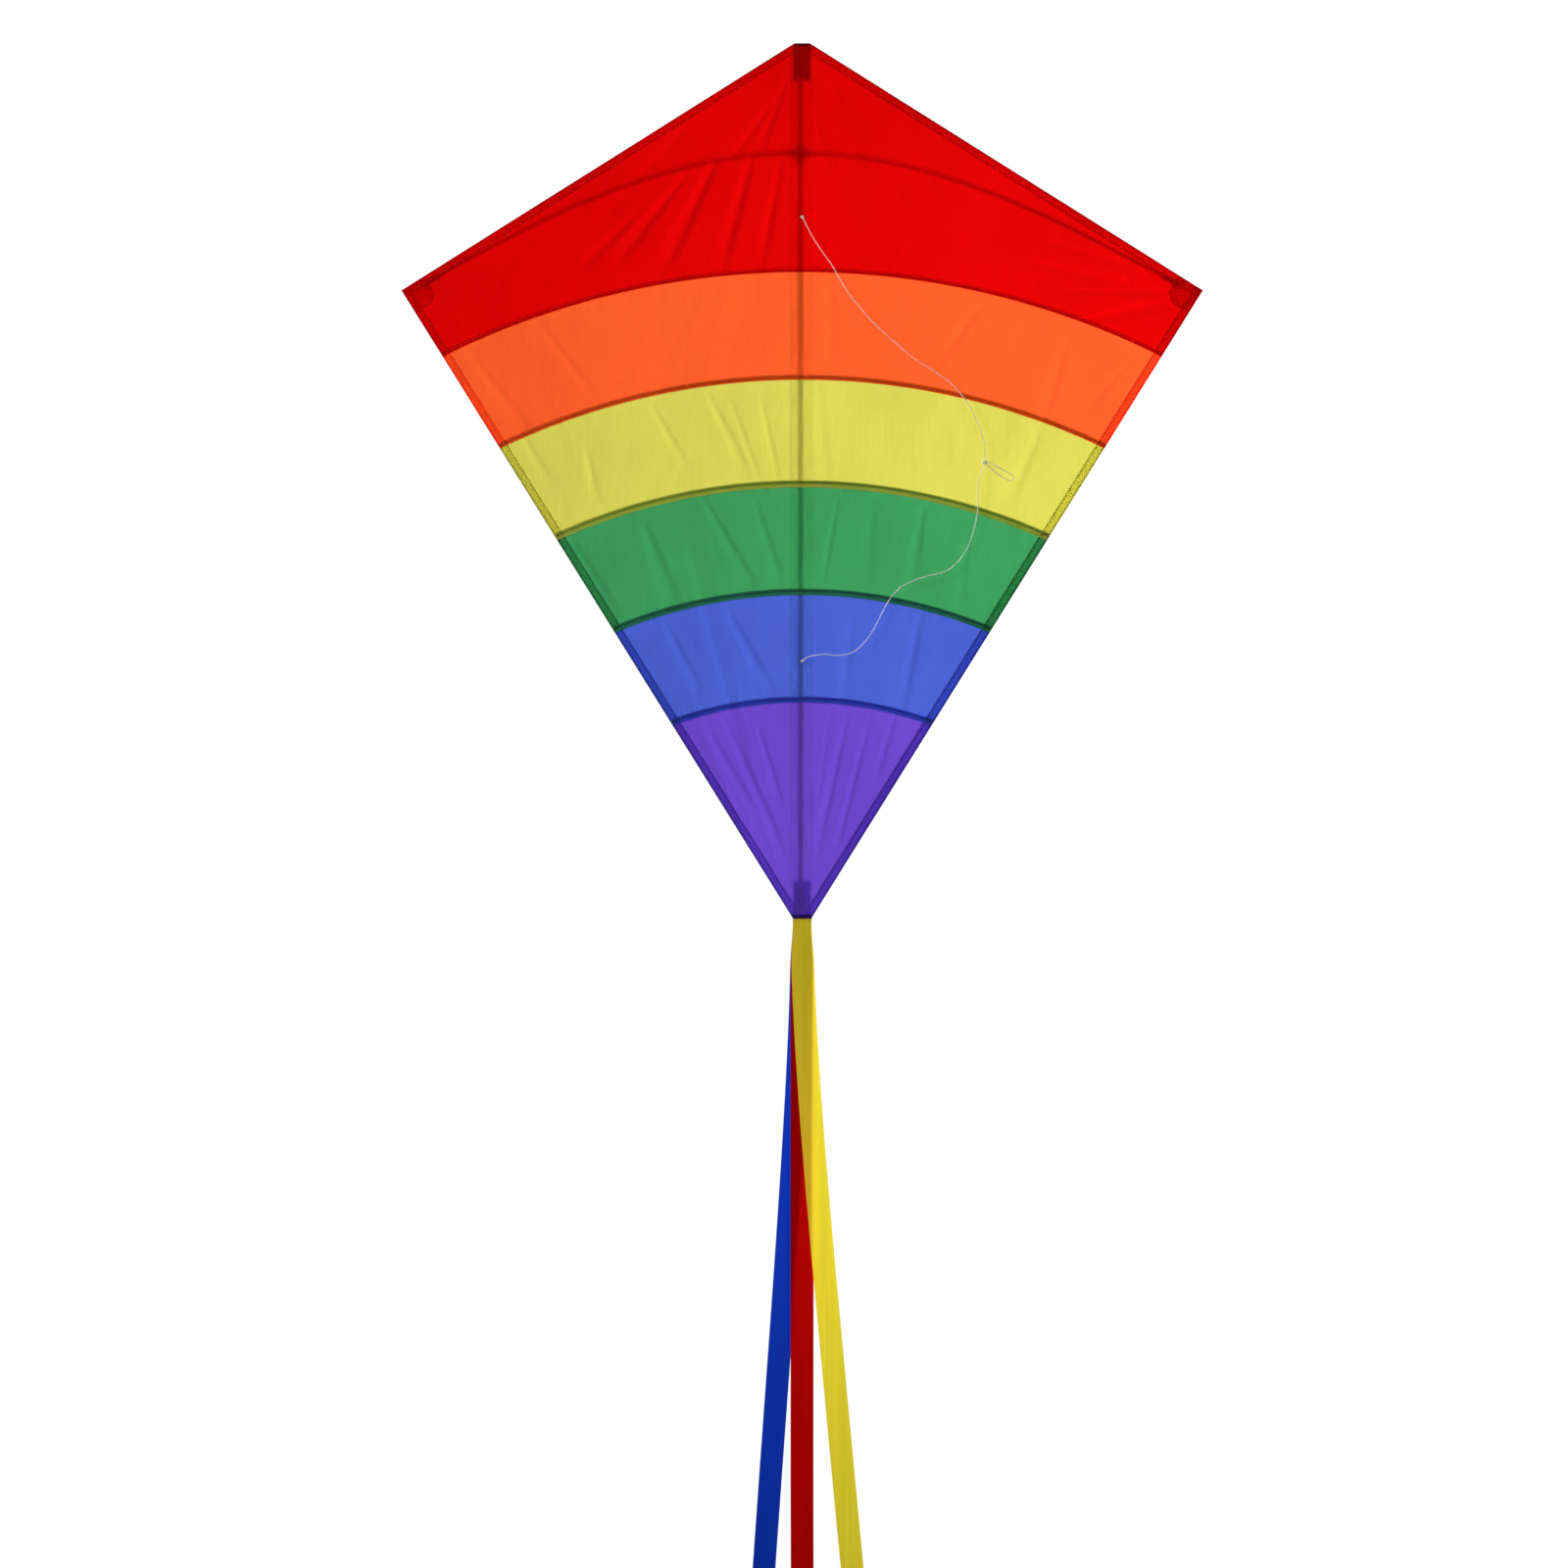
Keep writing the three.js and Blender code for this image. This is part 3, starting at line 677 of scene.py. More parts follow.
def on_sail(x, z, behind=0.0):
    """Points on the sail's surface, moved back by behind, as an array (..., 3)."""
    x, z = np.broadcast_arrays(np.asarray(x, float), np.asarray(z, float))
    return np.stack([x, SAIL_Y + relief(x, z) + behind, z], axis=-1)


def edge_x(z):
    """How far the sail's lower edge is from the spine at z."""
    return HALF_FOOT + EDGE_SLOPE * (z - FOOT_Z)


def edge_crossing(radius):
    """Where an arc about the panels' centre meets the lower edge, as (x, z)."""
    a, b, c = HALF_FOOT, EDGE_SLOPE, ARC_CENTRE_Z - FOOT_Z
    half = a * b - c
    height = (-half + math.sqrt(half**2 - (b * b + 1) * (a * a + c * c - radius**2))) / (b * b + 1)
    return a + b * height, FOOT_Z + height


def arc(radius, count):
    """Points (x, z) along an arc from the spine to the lower edge."""
    x, z = edge_crossing(radius)
    angle = np.linspace(0, math.atan2(x, z - ARC_CENTRE_Z), count)
    return np.stack([radius * np.sin(angle), ARC_CENTRE_Z + radius * np.cos(angle)], axis=1)


def coons(bottom, top):
    """A grid of (x, z) points between two edges, with straight sides."""
    count = max(6, round(abs(top[0, 1] - bottom[0, 1]) / CLOTH_CELL))
    left, right = np.linspace(bottom[0], top[0], count), np.linspace(bottom[-1], top[-1], count)
    u = np.linspace(0, 1, len(bottom))[None, :, None]
    v = np.linspace(0, 1, count)[:, None, None]
    across = (1 - v) * bottom[None] + v * top[None]
    up = (1 - u) * left[:, None] + u * right[:, None]
    corners = (1 - v) * ((1 - u) * bottom[0] + u * bottom[-1]) + v * ((1 - u) * top[0] + u * top[-1])
    return across + up - corners


CLOTH_CELL = 1.9 * MM
LAYER = 0.3 * MM
# How far each colour's lip hangs free below its seam's stitches, and the seam's width above the lip.
LIPS = [0.3 * MM, 0.8 * MM, 2.5 * MM, 1.9 * MM, 1.7 * MM]
SEAM_WIDTH = 3.7 * MM
LIP_RISE = 0.25 * MM
# The way up over which a panel steps back behind the one above it.
STEP_BACK = 2.5 * MM
HEM = 7.5 * MM
# A hem's folds as (distance in from the edge, distance behind the sail) in millimetres: the turn, the run and
# the raw edge's turn.
HEM_PROFILE = [
    (0, 0), (-0.12, 0.1), (-0.06, 0.24), (0.4, 0.34), (3, 0.38), (7.2, 0.36), (7.5, 0.45), (7.2, 0.54),
    (5.9, 0.56),
]
EDGE_ROLL = [(1.7, 0.12), (0.1, 0.14), (0.1, 0.2), (1.7, 0.22)]


def lower_edge(from_z, to_z):
    count = max(4, round((to_z - from_z) / CLOTH_CELL))
    z = np.linspace(from_z, to_z, count)
    return np.stack([edge_x(z), z], axis=1)


def upper_edge(count):
    """Points (x, z) from the spine across the nose and down to the wing tip, evenly spaced."""
    return points_along(np.array([(0, NOSE_Z), (HALF_NOSE, NOSE_Z), (TIP.x, TIP.z)]), count)


def hem(edge, inward, side):
    """The cloth folded back along an edge, over a rolled raw edge. inward is the way (x, z) into the sail."""
    parts = []
    for profile in (HEM_PROFILE, EDGE_ROLL):
        rows = []
        for across, behind in profile:
            x, z = (edge + np.array(inward) * across * MM).T
            rows.append(on_sail(side * x, z, behind * MM))
        parts.append(grid(np.stack(rows)))
    return parts


LOWER_INWARD = np.array([-1, EDGE_SLOPE]) / math.hypot(1, EDGE_SLOPE)
UPPER_RUN = np.array([TIP.x - HALF_NOSE, TIP.z - NOSE_Z])
UPPER_INWARD = np.array([UPPER_RUN[1], -UPPER_RUN[0]]) / np.linalg.norm(UPPER_RUN)


def lower_cut(index, count):
    """Points (x, z) along the lower edge of one colour, from the spine outwards."""
    if index == len(COLOURS) - 1:
        return np.linspace((0, FOOT_Z), (HALF_FOOT, FOOT_Z), count)
    return arc(SEAM_RADII[index], count)


def upper_cut(index, count):
    """Points (x, z) along the upper edge of one colour, from the spine outwards."""
    return arc(SEAM_RADII[index - 1] + overlap(index), count) if index else upper_edge(count)


def panel(index, side):
    """The (vertices, faces) parts of one colour's half panel. The first part is its front."""
    above = SEAM_RADII[index - 1] if index else None
    count = max(10, round((edge_crossing(above)[0] if index else TIP.x) / CLOTH_CELL))
    bottom, top = lower_cut(index, count), upper_cut(index, count)
    x, z = np.moveaxis(coons(bottom, top), -1, 0)
    radius = np.hypot(x, z - ARC_CENTRE_Z)
    behind = np.zeros_like(x)
    if index:
        behind = behind + LAYER * smooth_share((radius - above + STEP_BACK) / STEP_BACK)
    if index < len(SEAM_RADII):
        lip = np.clip(1 - (radius - SEAM_RADII[index]) / LIPS[index], 0, 1)
        behind = behind - LIP_RISE * lip
    parts = [grid(on_sail(side * x, z, behind))]
    if index:
        # The seam allowance, turned down behind the seam: (height above the seam line, layers behind).
        turned = [(overlap(index), 1), (overlap(index) + 0.1 * MM, 1.3), (overlap(index), 1.6)]
        turned += [(overlap(index) - SEAM_WIDTH / 2, 1.7), (LIPS[index - 1], 1.6)]
        edges = [(arc(above + rise, count).T, layers * LAYER) for rise, layers in turned]
        parts.append(grid(np.stack([on_sail(side * x, z, depth) for (x, z), depth in edges])))
    parts += hem(lower_edge(bottom[-1, 1], top[-1, 1] if index else TIP.z), LOWER_INWARD, side)
    if index == 0:
        parts += hem(upper_edge(count)[2:], UPPER_INWARD, side)
    return parts


def overlap(index):
    """How far a colour reaches up behind the one above it."""
    return LIPS[index - 1] + SEAM_WIDTH


def wing_bend(made):
    """Bakes a piece's placement into its mesh."""
    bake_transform(made)


def give_layers_painted_light(made, index, front_faces):
    """Gives the layers behind the front cloth, in the seams and hems, and the cloth behind the seam above, a
    lighter and more see-through copy of their cloth: painted light that offsets the shade of the doubled
    layers.
    """
    mesh = made.data
    mesh.materials.append(FOLDED_PAINTED_LIGHT[COLOURS[index]])
    centres = np.zeros(3 * len(mesh.polygons))
    mesh.polygons.foreach_get("center", centres)
    x, _, z = centres.reshape(-1, 3).T
    behind = np.arange(len(mesh.polygons)) >= front_faces
    if index:
        behind |= np.hypot(x, z - ARC_CENTRE_Z) > SEAM_RADII[index - 1] + CLOTH_CELL
    mesh.polygons.foreach_set("material_index", behind.astype(np.int32))


def make_sail():
    for name, side in SIDES.items():
        for index, colour in enumerate(COLOURS):
            parts = panel(index, side)
            nodes = [f"sail_{colour}_{name}"]
            made = piece(f"cloth_{colour}_{name}", parts, CLOTH[colour], f"cloth_{colour}", nodes)
            give_layers_painted_light(made, index, len(parts[0][1]))
            wing_bend(made)


make_sail()


# ---------------------------------------------------------------- stitching

THREAD_RADIUS = 0.15 * MM
SEAM_THREAD_RADIUS = 0.24 * MM
ZIGZAG_PERIOD = 2.1 * MM
ZIGZAG_HALF = 1.0 * MM
STITCH = 2.6 * MM
STITCH_GAP = 0.35 * MM
# One stitch comes up through the cloth, lies on its front and goes back.
STITCH_SHARES = np.array([0, 0.15, 0.5, 0.85, 1])
STITCH_DEPTHS = np.array([0.3, -0.12, -0.2, -0.12, 0.3]) * MM
HEM_ROW = HEM - 1.2 * MM


def zigzag(index, side):
    """The zigzag row along the seam below a colour."""
    radius = SEAM_RADII[index] + LIPS[index] + SEAM_WIDTH / 2
    x, z = edge_crossing(radius)
    end = math.atan2(x - 2 * MM, z - ARC_CENTRE_Z)
    count = round(end * radius / (ZIGZAG_PERIOD / 2))
    angle = np.linspace(0, end, count)
    sway = radius + ZIGZAG_HALF * np.where(np.arange(count) % 2 == 0, 1, -1)
    points = on_sail(side * sway * np.sin(angle), ARC_CENTRE_Z + sway * np.cos(angle), -0.16 * MM)
    return tube(points, SEAM_THREAD_RADIUS, 5)


def stitches(start, end, side=1):
    """A row of straight stitches between two points (x, z)."""
    start, end = np.array(start, float), np.array(end, float)
    long = np.linalg.norm(end - start)
    way = (end - start) / long
    rows = []
    for i in range(int(long / (STITCH + STITCH_GAP))):
        at = i * (STITCH + STITCH_GAP) + STITCH_SHARES * STITCH
        x, z = (start + way * at[:, None]).T
        rows.append(tube(on_sail(side * x, z, STITCH_DEPTHS), THREAD_RADIUS, 4))
    return rows


def hem_rows(index, side):
    """The stitches that hold one colour's hem."""
    last = index == len(COLOURS) - 1
    low_z = FOOT_Z + 6 * MM if last else edge_crossing(SEAM_RADII[index])[1]
    high_z = edge_crossing(SEAM_RADII[index - 1])[1] if index else TIP.z - 3 * MM
    low, high = (np.array([edge_x(z), z]) for z in (low_z, high_z))
    rows = stitches(low + LOWER_INWARD * HEM_ROW, high + LOWER_INWARD * HEM_ROW, side)
    if index == 0:
        start = np.array([HALF_NOSE, NOSE_Z]) + UPPER_INWARD * HEM_ROW
        rows += stitches(start, start + UPPER_RUN * 0.985, side)
    return rows


def make_stitching():
    for name, side in SIDES.items():
        for index, colour in enumerate(COLOURS):
            rows = [("hem", hem_rows(index, side), THREAD)]
            if index < len(SEAM_RADII):
                rows.append(("seam", [zigzag(index, side)], SEAM_THREAD))
            for kind, parts, looks in rows:
                made = piece(f"{kind}_stitches_{colour}_{name}", parts, looks[colour], f"cloth_{colour}")
                wing_bend(made)


make_stitching()


# ---------------------------------------------------------------- spine tape, pockets and binding


POUCH_HUMP_HALF = 4.9 * MM
POUCH_SEAM = 1.2 * MM
POUCH_CLOTH = 0.5 * MM


def make_tape():
    """The tape that backs the sail along the spine, narrowed to the nose and the foot."""
    z = np.linspace(FOOT_Z + 1 * MM, NOSE_Z - 1 * MM, 300)
    nose_half = HALF_NOSE + (NOSE_Z - z) * (TIP.x - HALF_NOSE) / (NOSE_Z - TIP.z)
    sail_half = np.minimum(edge_x(z), nose_half)
    half = np.minimum(TAPE_HALF - 0.8 * MM, sail_half - 0.6 * MM)
    across = np.array([-1, -0.93, -0.6, -0.25, 0, 0.25, 0.6, 0.93, 1])
    x = half[:, None] * across[None]
    z_grid = np.repeat(z[:, None], len(across), axis=1)
    ripple = 0.06 * MM * soft_noise(z_grid / (9 * MM), x / (6 * MM) + 9, 31)
    behind = 0.58 * MM - 0.28 * MM * across[None] ** 4 + ripple
    parts = [grid(on_sail(x, z_grid, behind))]
    made = piece("tape", parts, TAPE_LOOK, "tape", ["spine_tape"], "airframe")


def pouch(name, node, closed_end, look, slot):
    """A sewn pouch over one end of the spine: flat at its sides, humped over the rod, shut at its end."""
    low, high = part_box(node)
    outer, mouth = (high.z, low.z) if closed_end > 0 else (low.z, high.z)
    x = np.linspace(low.x, high.x, 31)
    share = np.linspace(0, 1, 40)
    z = outer + (mouth - outer) * share
    hump = np.clip(1 - (np.abs(x) / POUCH_HUMP_HALF) ** 2.4, 0, None) ** 0.62
    opened = smooth_share((share * abs(mouth - outer) - POUCH_SEAM) / (7 * MM))
    rise = opened[:, None] * hump[None] * (high.y - low.y - POUCH_CLOTH)
    ripple = 0.12 * MM * np.sin(z / (1.7 * MM))[:, None] * (np.abs(x) > 5 * MM)[None]
    x_grid, z_grid = np.meshgrid(x, z)
    y_grid = low.y + POUCH_CLOTH / 2 + rise + ripple
    parts = [grid(np.stack([x_grid, y_grid, z_grid], axis=-1))]
    made = piece(name, parts, look, slot, [node], "airframe")
    if closed_end > 0:
        solidify = made.modifiers.new("thickness", "SOLIDIFY")
        solidify.thickness, solidify.offset = POUCH_CLOTH, 0


def box_stitches(name, node, thread_look, slot):
    """The row of stitches round a pouch, on the front of the sail."""
    low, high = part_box(node)
    x, bottom, top = high.x - 1 * MM, low.z + 1 * MM, high.z - 1.5 * MM
    shut = top if high.z > 0 else bottom
    rows = stitches((-x, bottom), (-x, top)) + stitches((x, bottom), (x, top))
    rows += stitches((-x, shut), (x, shut))
    piece(name, rows, thread_look, slot, body="airframe")


# A binding from its front edge, round the end of the sail, to its back edge: (share of its height, depth in
# millimetres).
BINDING_PROFILE = [
    (0.0, -0.25), (0.04, -0.4), (0.5, -0.5), (0.96, -0.42), (1.0, 0.2), (0.97, 1.3), (0.5, 1.45), (0, 1.4),
]


def binding(name, half_width, from_z, to_z, look, slot):
    """A folded strip of cloth that wraps an end of the sail, front and back."""
    x = np.linspace(-half_width, half_width, 41)
    tall = to_z - from_z
    rows = []
    for share, depth in BINDING_PROFILE:
        wave = 0.07 * MM * np.sin(x / (0.9 * MM) + share * 4)
        rows.append(np.stack([x, SAIL_Y + depth * MM + wave, from_z + tall * share + 0.4 * wave], axis=-1))
    piece(name, [grid(np.array(rows))], look, slot, body="airframe")


def make_pockets():
    pouch("nose_pouch", "nose_pocket", 1, PATCH_RED, "patch_red")
    pouch("foot_pouch", "tail_pocket", -1, PATCH_PURPLE, "patch_purple")
    box_stitches("nose_stitches", "nose_pocket", THREAD["red"], "patch_red")
    box_stitches("foot_stitches", "tail_pocket", THREAD["purple"], "patch_purple")
    low_z, high_z = NOSE_Z - 1.6 * MM, NOSE_Z + 0.3 * MM
    binding("nose_binding", HALF_NOSE - 0.6 * MM, low_z, high_z, BINDING_RED, "patch_red")
    low_z, high_z = FOOT_Z - 0.3 * MM, FOOT_Z + 3.4 * MM
    binding("foot_binding", HALF_FOOT + 0.5 * MM, high_z, low_z, BINDING_PURPLE, "patch_purple")


make_tape()
make_pockets()


# ---------------------------------------------------------------- spars and their caps


def rod_ends(line, radius):
    """Radii along a rod whose cut ends are slightly rounded."""
    along = distances(line)
    nearest = np.minimum(along, along[-1] - along)
    return radius * (0.8 + 0.2 * np.clip(nearest / (0.4 * MM), 0, 1) ** 0.5)


def make_spine():
    low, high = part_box("spine_rod")
    between = np.linspace(low.z + 0.5 * MM, high.z - 0.5 * MM, 60)
    z = np.concatenate([[low.z, low.z + 0.2 * MM], between, [high.z - 0.2 * MM, high.z]])
    line = np.stack([np.full_like(z, SPINE.x), np.full_like(z, SPINE.y), z], axis=1)
    parts = [tube(line, rod_ends(line, SPINE_RADIUS), 28)]
    piece("spine", parts, ROD_LOOK, "rod", ["spine_rod"], "airframe")
    for name, node, way in (("cap_nose", "spine_nose_cap", 1), ("cap_foot", "spine_tail_cap", -1)):
        cap_low, cap_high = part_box(node)
        end = (SPINE.x, SPINE.y, cap_high.z if way > 0 else cap_low.z)
        length, width, _ = (cap_high - cap_low).zxy
        cap(name, node, end, (0, 0, -way), length, width / 2, "airframe")


def cap(name, node, end, inward, length, radius, body):
    """A soft vinyl cap: a domed end, a straight sleeve and a rolled lip."""
    end, inward = np.array(end, float), np.array(inward, float)
    turns = np.linspace(0.12, math.pi / 2, 9)
    dome = [(radius * (1 - math.cos(a)) * 0.7, radius * math.sin(a)) for a in turns]
    sleeve = [(length * s, radius * (1 - 0.03 * math.sin(math.pi * s))) for s in np.linspace(0.25, 0.88, 8)]
    lip = [(length * 0.92, radius), (length * 0.95, radius * 1.05), (length * 0.985, radius * 1.04)]
    rim = [(length, radius * 0.96), (length, radius * 0.8)]
    piece(name, [lathe(dome + sleeve + lip + rim, end, end + inward)], VINYL_LOOK, "vinyl", [node], body)


CROSS = Vector((0, middle("spreader_centre").y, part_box("spreader_centre")[1].z - SPREADER_RADIUS))
# Where the spreader ends: its distance from the spine, its drop below the crossing and its depth.
TIP_X, TIP_DROP, TIP_Y = 327 * MM, 112 * MM, -7.9 * MM
TIP_CAP_LENGTH, TIP_CAP_RADIUS, TIP_CAP_END = 16 * MM, 2.1 * MM, 2.3 * MM
SLEEVE_RADIUS, SLEEVE_LIP_RADIUS, SLEEVE_LIP, FITTING_FOOT_RADIUS = 2.9 * MM, 3.3 * MM, 1.4 * MM, 3.6 * MM


def spreader_point(x):
    """The bowed spreader's centreline at a distance x from the spine."""
    share = np.abs(x) / TIP_X
    y = CROSS.y + (TIP_Y - CROSS.y) * share**2
    return np.stack([x, y, CROSS.z - TIP_DROP * (1 - np.cos(np.pi / 2 * share))], axis=-1)


def make_spreader():
    for name, side in SIDES.items():
        line = spreader_point(side * np.linspace(0, TIP_X, 170))
        parts = [tube(line, rod_ends(line, SPREADER_RADIUS), 24)]
        nodes = [f"spreader_{name}", "spreader_centre"]
        wing_bend(piece(f"spreader_rod_{name}", parts, ROD_LOOK, "rod", nodes))
        outward = unit(line[-1] - line[-2])
        end = line[-1] + outward * TIP_CAP_END
        size = (TIP_CAP_LENGTH, TIP_CAP_RADIUS)
        cap(f"cap_{name}", f"spreader_cap_{name}", end, -outward, *size, f"{name}_wing")


def make_fitting():
    """The moulded fitting: a sleeve on the spreader and a clip on the spine, with fillets between them."""
    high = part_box("cross_fitting")[1]
    reach, tall, clip_y = high.x, high.z, SPINE.y + 0.4 * MM
    rounds = [((-reach, CROSS.y, CROSS.z), (reach, CROSS.y, CROSS.z), SLEEVE_RADIUS)]
    for x in (-reach, reach - SLEEVE_LIP):
        rounds.append(((x, CROSS.y, CROSS.z), (x + SLEEVE_LIP, CROSS.y, CROSS.z), SLEEVE_LIP_RADIUS))
    rounds.append(((0, clip_y, CROSS.z - tall), (0, clip_y, CROSS.z + tall), SLEEVE_RADIUS))
    rounds.append(((0, high.y, CROSS.z), (0, SPINE.y, CROSS.z), FITTING_FOOT_RADIUS))
    parts = [lathe([(0, r), (math.dist(start, end), r)], start, end, 28) for start, end, r in rounds]
    made = piece("fitting", parts, CLEAR_VINYL, "clear_vinyl", ["cross_fitting"], "airframe")
    remesh = made.modifiers.new("mould", "REMESH")
    remesh.mode, remesh.voxel_size, remesh.use_smooth_shade = "VOXEL", 0.42 * MM, True
    smooth = made.modifiers.new("fillets", "SMOOTH")
    smooth.factor, smooth.iterations = 0.6, 8


make_spine()
make_spreader()
make_fitting()


# ---------------------------------------------------------------- corner pockets


# A corner pocket in millimetres along the edges of the sail: its margin, its sides, where its inner corner
# is cut off, and the same for its row of stitches.
POCKET_MARGIN, POCKET_SIDE, POCKET_CUT = 0.8, 24, 17
POCKET_ROW_MARGIN, POCKET_ROW = 3, 22.5
POCKET_BACK = SAIL_Y + 0.75 * MM
POCKET_HUMP_HALF = 3.9 * MM


def pocket_place(along_upper, along_lower):
    """A point (x, z) from its distances along the sail's upper and lower edge, from the wing tip."""
    up, down = -unit(UPPER_RUN), -unit(np.array([EDGE_SLOPE, 1]))
    return np.array([TIP.x, TIP.z]) + (up * along_upper + down * along_lower) * MM


def pocket_outline(reach, margin):
    """The inner sides of a corner pocket, as points (x, z)."""
    ends = [(reach, margin), (reach, POCKET_CUT), (POCKET_CUT, reach), (margin, reach)]
    return np.array([pocket_place(*end) for end in ends])


def make_corner_pocket(name):
    """A patch sewn into the wing tip's corner, humped over the capped end of the spreader."""
    side = SIDES[name]
    rim = points_along(pocket_outline(POCKET_SIDE, POCKET_MARGIN), 60)
    corner = pocket_place(POCKET_MARGIN, POCKET_MARGIN)
    flat = corner + np.linspace(0.02, 1, 34)[:, None, None] * (rim[None] - corner)
    rod = spreader_point(np.array([TIP_X - 1 * MM, TIP_X]))[:, [0, 2]]
    way = unit(rod[1] - rod[0])
    past = (flat - rod[1]) @ way
    away = (flat - rod[1]) @ np.array([way[1], -way[0]])
    hump = np.clip(1 - (np.abs(away) / POCKET_HUMP_HALF) ** 2.2, 0, None) ** 0.6
    opened = smooth_share((5 * MM - past) / (4.5 * MM))
    y = POCKET_BACK + hump * opened * (TIP_Y + 2.9 * MM - POCKET_BACK)
    y = y + 0.1 * MM * soft_noise(flat[..., 0] / (3 * MM), flat[..., 1] / (3 * MM), 41)
    points = np.stack([side * flat[..., 0], y, flat[..., 1]], axis=-1)
    belongs = ("patch_red", [f"corner_pocket_{name}"], f"{name}_wing")
    # The pouch takes the lighter corner red, painted light over the doubled cloth.
    made = piece(f"corner_pouch_{name}", [grid(points)], CORNER_RED_PAINTED_LIGHT, *belongs)
    places = pocket_outline(POCKET_ROW, POCKET_ROW_MARGIN)
    rows = [stitch for start, end in zip(places, places[1:]) for stitch in stitches(start, end, side)]
    piece(f"corner_stitches_{name}", rows, THREAD["red"], "patch_red", body=f"{name}_wing")


for wing_name in SIDES:
    make_corner_pocket(wing_name)


# ---------------------------------------------------------------- ribbon tails

RIBBON_HALF = (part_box("tail_red_upper")[1].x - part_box("tail_red_upper")[0].x) / 2
RIBBON_END = 1000 * MM
# Where the head and the upper length of a ribbon end, and where the lower length bends.
HEAD_SPLIT, RIBBON_SPLIT = 9 * MM, 300 * MM
BEND_DROP, BEND_REACH = 500 * MM, 110 * MM
# The heads lie together in the binding, drawn in to a share of their width, and spread over SETTLE.
BOUND_Y = 0.45 * MM
GATHER = 0.81
SETTLE = 120 * MM
RIBBONS = {
    "yellow": {"lean": 0.0984, "layer": -0.9 * MM, "tilt": -0.006, "phase": 0.0},
    "red": {"lean": 0.0, "layer": 0.0, "tilt": 0.0, "phase": 1.3},
    "blue": {"lean": -0.075, "layer": 0.9 * MM, "tilt": 0.006, "phase": 2.1},
}
ACROSS = np.array([-1, -0.97, -0.9, -0.7, -0.45, -0.2, 0, 0.2, 0.45, 0.7, 0.9, 0.97, 1])[None]


def ribbon_points(colour, from_drop, to_drop):
    """A grid of points on a hanging ribbon, with its slow waves and slight turns."""
    shape = RIBBONS[colour]
    drop = np.linspace(from_drop, to_drop, max(3, round((to_drop - from_drop) / (3 * MM)) + 1))[:, None]
    fan = shape["lean"] * (drop - SETTLE * (1 - np.exp(-np.maximum(drop, 0) / SETTLE)))
    # The waves and turns grow towards the free end.
    lower = np.clip((drop - 350 * MM) / (450 * MM), 0, 1)
    wave = 1.6 * MM * np.sin(drop / (95 * MM)) * np.clip(drop / (300 * MM), 0, 1)
    wave = wave + 2.2 * MM * lower * np.sin(drop / (120 * MM) + shape["phase"])
    turn = 0.05 * np.sin(drop / (150 * MM)) + 0.16 * lower * np.sin(drop / (170 * MM) + shape["phase"])
    cup = 0.25 * MM * ACROSS**2 - 0.1 * MM * (np.abs(ACROSS) > 0.92)
    # Gathered and pressed together in the binding, flat and apart below it.
    out = smooth_share(drop / (14 * MM))
    half = RIBBON_HALF * (GATHER + (1 - GATHER) * smooth_share(drop / (45 * MM)))
    gathers = 0.35 * MM * np.sin(9 * ACROSS) * np.exp(-((drop / (9 * MM)) ** 2))
    apart = 0.15 + 0.85 * out
    layer = BOUND_Y + (shape["layer"] - BOUND_Y) * apart + gathers * (0.5 + out)
    sway = 0.8 * MM * lower * np.sin(drop / (110 * MM) + shape["phase"])
    x = fan + sway + half * ACROSS * np.cos(turn)
    y = SAIL_Y + layer + shape["tilt"] * np.maximum(drop, 0) + wave + half * ACROSS * np.sin(turn) + cup * out
    z = FOOT_Z - drop - 0.4 * MM * ACROSS * lower
    return np.stack(np.broadcast_arrays(x, y, z), axis=-1)


def make_ribbons():
    for colour in RIBBONS:
        bodies = ["airframe", "tail_heads", f"{colour}_tail", f"{colour}_tail_end"]
        spans = [
            ("head", -3 * MM, HEAD_SPLIT, 0.0, 7 * MM),
            ("upper", HEAD_SPLIT, RIBBON_SPLIT, HEAD_SPLIT, 60 * MM),
            ("lower", RIBBON_SPLIT, RIBBON_END, BEND_DROP - BEND_REACH, BEND_DROP + BEND_REACH),
        ]
        for (part, from_drop, to_drop, bend_from, bend_to), body, next_body in zip(spans, bodies, bodies[1:]):
            parts = [grid(ribbon_points(colour, from_drop, to_drop))]
            if part == "head":
                nodes = ["tail_heads"] if colour == "yellow" else []
            else:
                nodes = [f"tail_{colour}_{part}"]
            made = piece(f"ribbon_{part}_{colour}", parts, RIBBON[colour], f"ribbon_{colour}", nodes)
            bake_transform(made)


make_ribbons()


# ---------------------------------------------------------------- stage and light


def area_light(name, place, target, size, power, spread):
    data = bpy.data.lights.new(name, "AREA")
    data.shape, data.size, data.size_y = "RECTANGLE", size, size
    data.energy, data.spread = power, math.radians(spread)
    light = bpy.data.objects.new(name, data)
    light.location = place
    light.rotation_mode = "QUATERNION"
    light.rotation_quaternion = (Vector(target) - Vector(place)).to_track_quat("-Z", "Y")
    light.visible_camera = False
    bpy.context.scene.collection.objects.link(light)


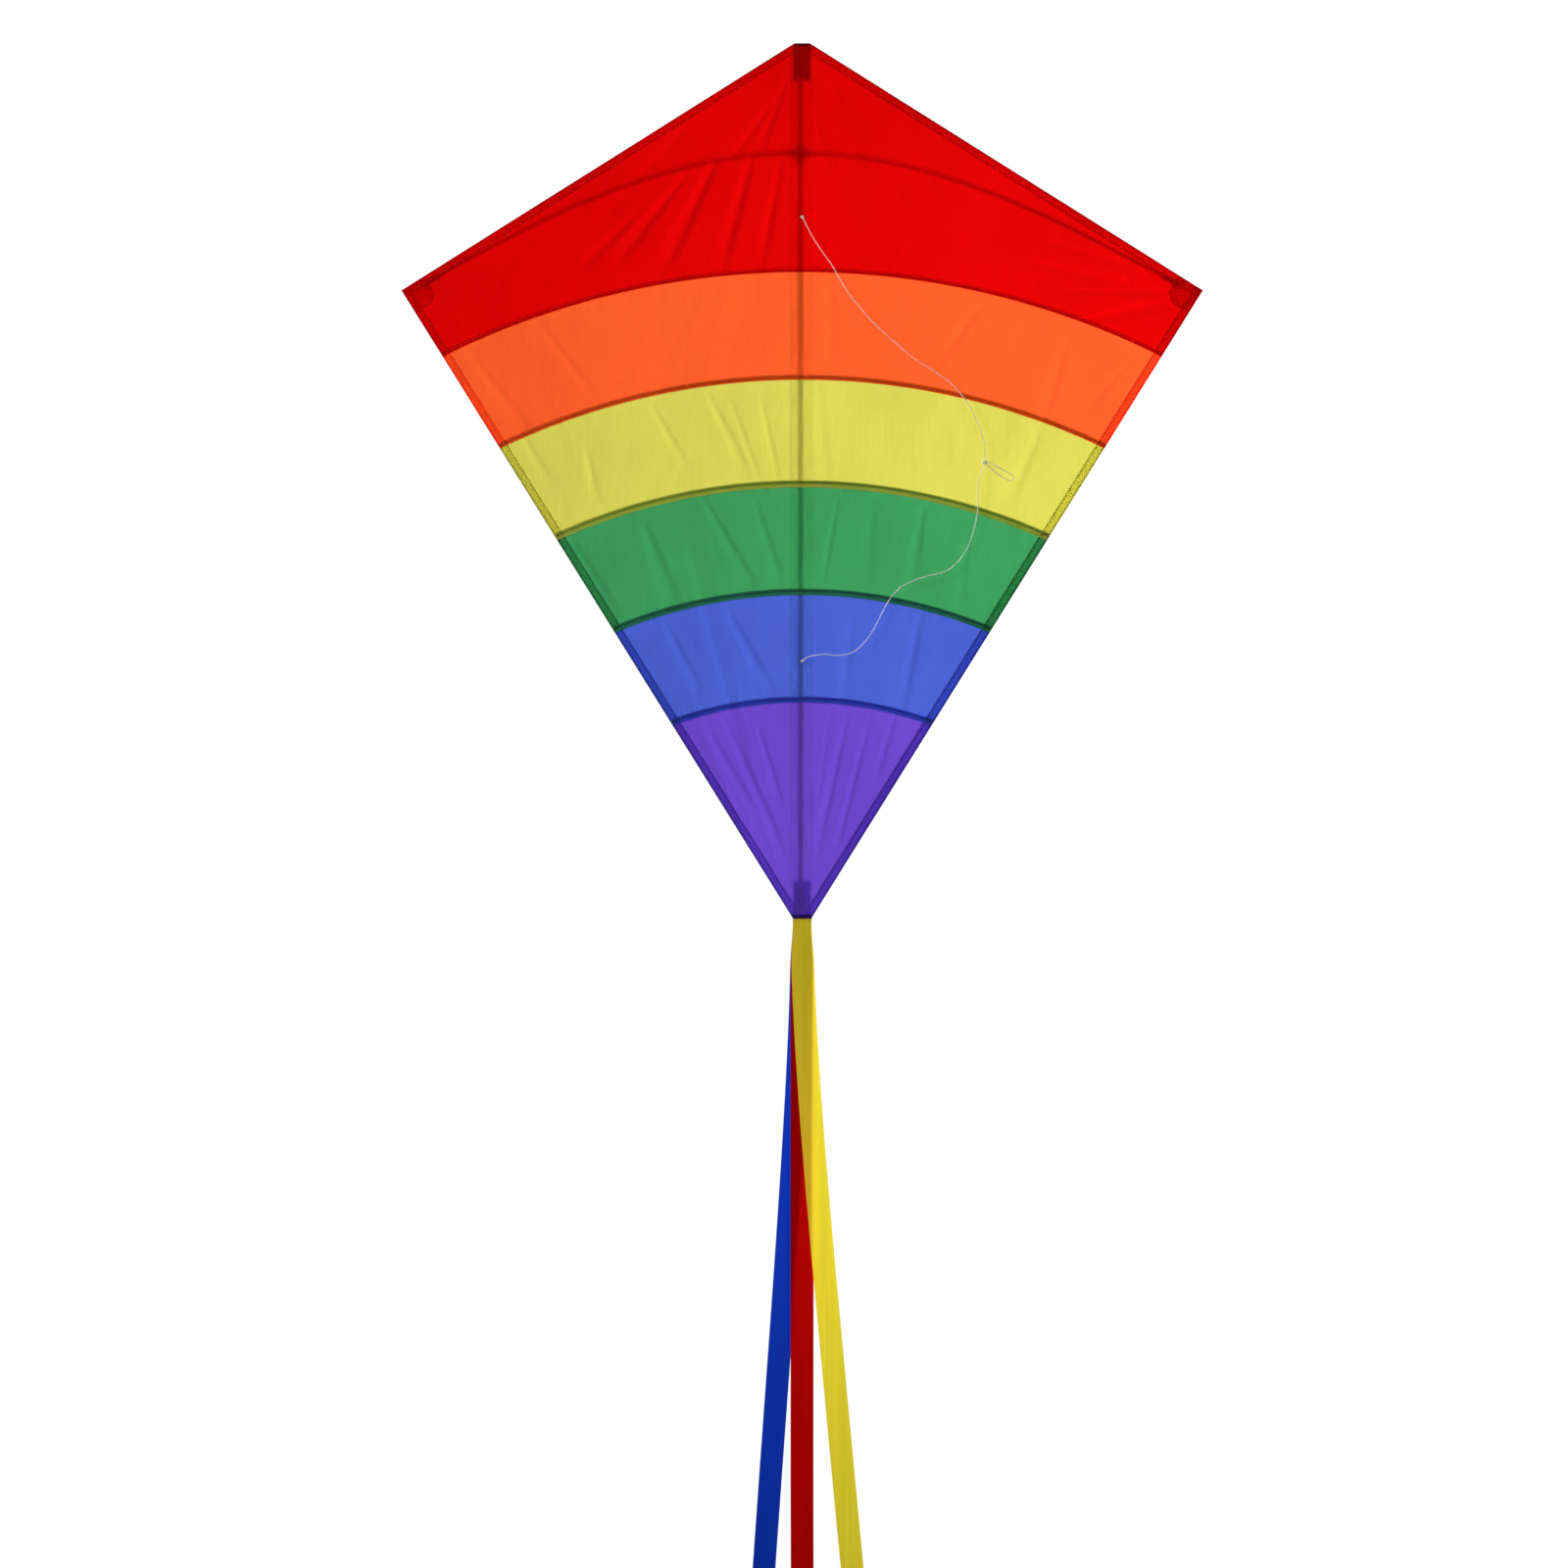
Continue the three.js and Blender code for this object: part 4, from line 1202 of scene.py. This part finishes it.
# Name, place, target, size, power and spread in degrees.
LIGHTS = [
    ("back_panel", (0.55, 1.05, -0.45), (0, 0, -0.3), 0.8, 9.9, 110),
    ("key_left", (-2.0, -0.9, 1.1), (0, 0, -0.25), 0.6, 15, 90),
    ("side_right", (1.15, -0.75, 0.25), (0.3, 0, -0.1), 0.4, 0.5, 80),
    ("low_front", (-0.5, -1.5, -0.85), (0, 0, -0.9), 0.3, 0.4, 36),
]
FRONT_DOME, BACK_DOME = 0.17, 0.28
FLOOR_HALF = 5
FLOOR_Z = FOOT_Z - RIBBON_END - 30 * MM


def make_floor():
    """A plain pale floor that glows faintly and leaves the light on the kite as it is."""
    look = Look("floor")
    grain = look.noise(look.body_place((1, 1, 1)), 3.0, 2.0)
    tone = look.mixed(grain, (0.9, 0.9, 0.9, 1), (0.93, 0.93, 0.93, 1))
    surface = look.node(
        "BsdfPrincipled", Base_Color=tone, Roughness=0.8, Emission_Color=WHITE, Emission_Strength=0.92
    )
    corners = [(x * FLOOR_HALF, y * FLOOR_HALF, FLOOR_Z) for x, y in ((-1, -1), (1, -1), (1, 1), (-1, 1))]
    floor = piece("floor", [(np.array(corners), [[0, 1, 2, 3]])], look.finish(surface))
    floor.visible_diffuse = floor.visible_transmission = floor.visible_shadow = False


def make_world():
    """White to the camera. As light, it is strong behind the kite and weak in front of it."""
    look = Look("studio", bpy.data.worlds, "ShaderNodeOutputWorld")
    place = look.node("SeparateXYZ", Vector=look.node("TexCoord").outputs["Generated"])
    strength = look.node(
        "MapRange", {"interpolation_type": "SMOOTHSTEP"}, Value=place.outputs["Y"],
        From_Min=-0.35, From_Max=0.35, To_Min=FRONT_DOME, To_Max=BACK_DOME,
    )
    lit = look.node("Background", Color=WHITE, Strength=strength.outputs["Result"])
    seen = look.node("Background", Color=WHITE)
    is_seen = look.node("LightPath").outputs["Is Camera Ray"]
    bpy.context.scene.world = look.finish(look.shared(is_seen, lit, seen))


bpy.context.scene.view_settings.view_transform = "Standard"
make_floor()
make_world()
for light in LIGHTS:
    area_light(*light)
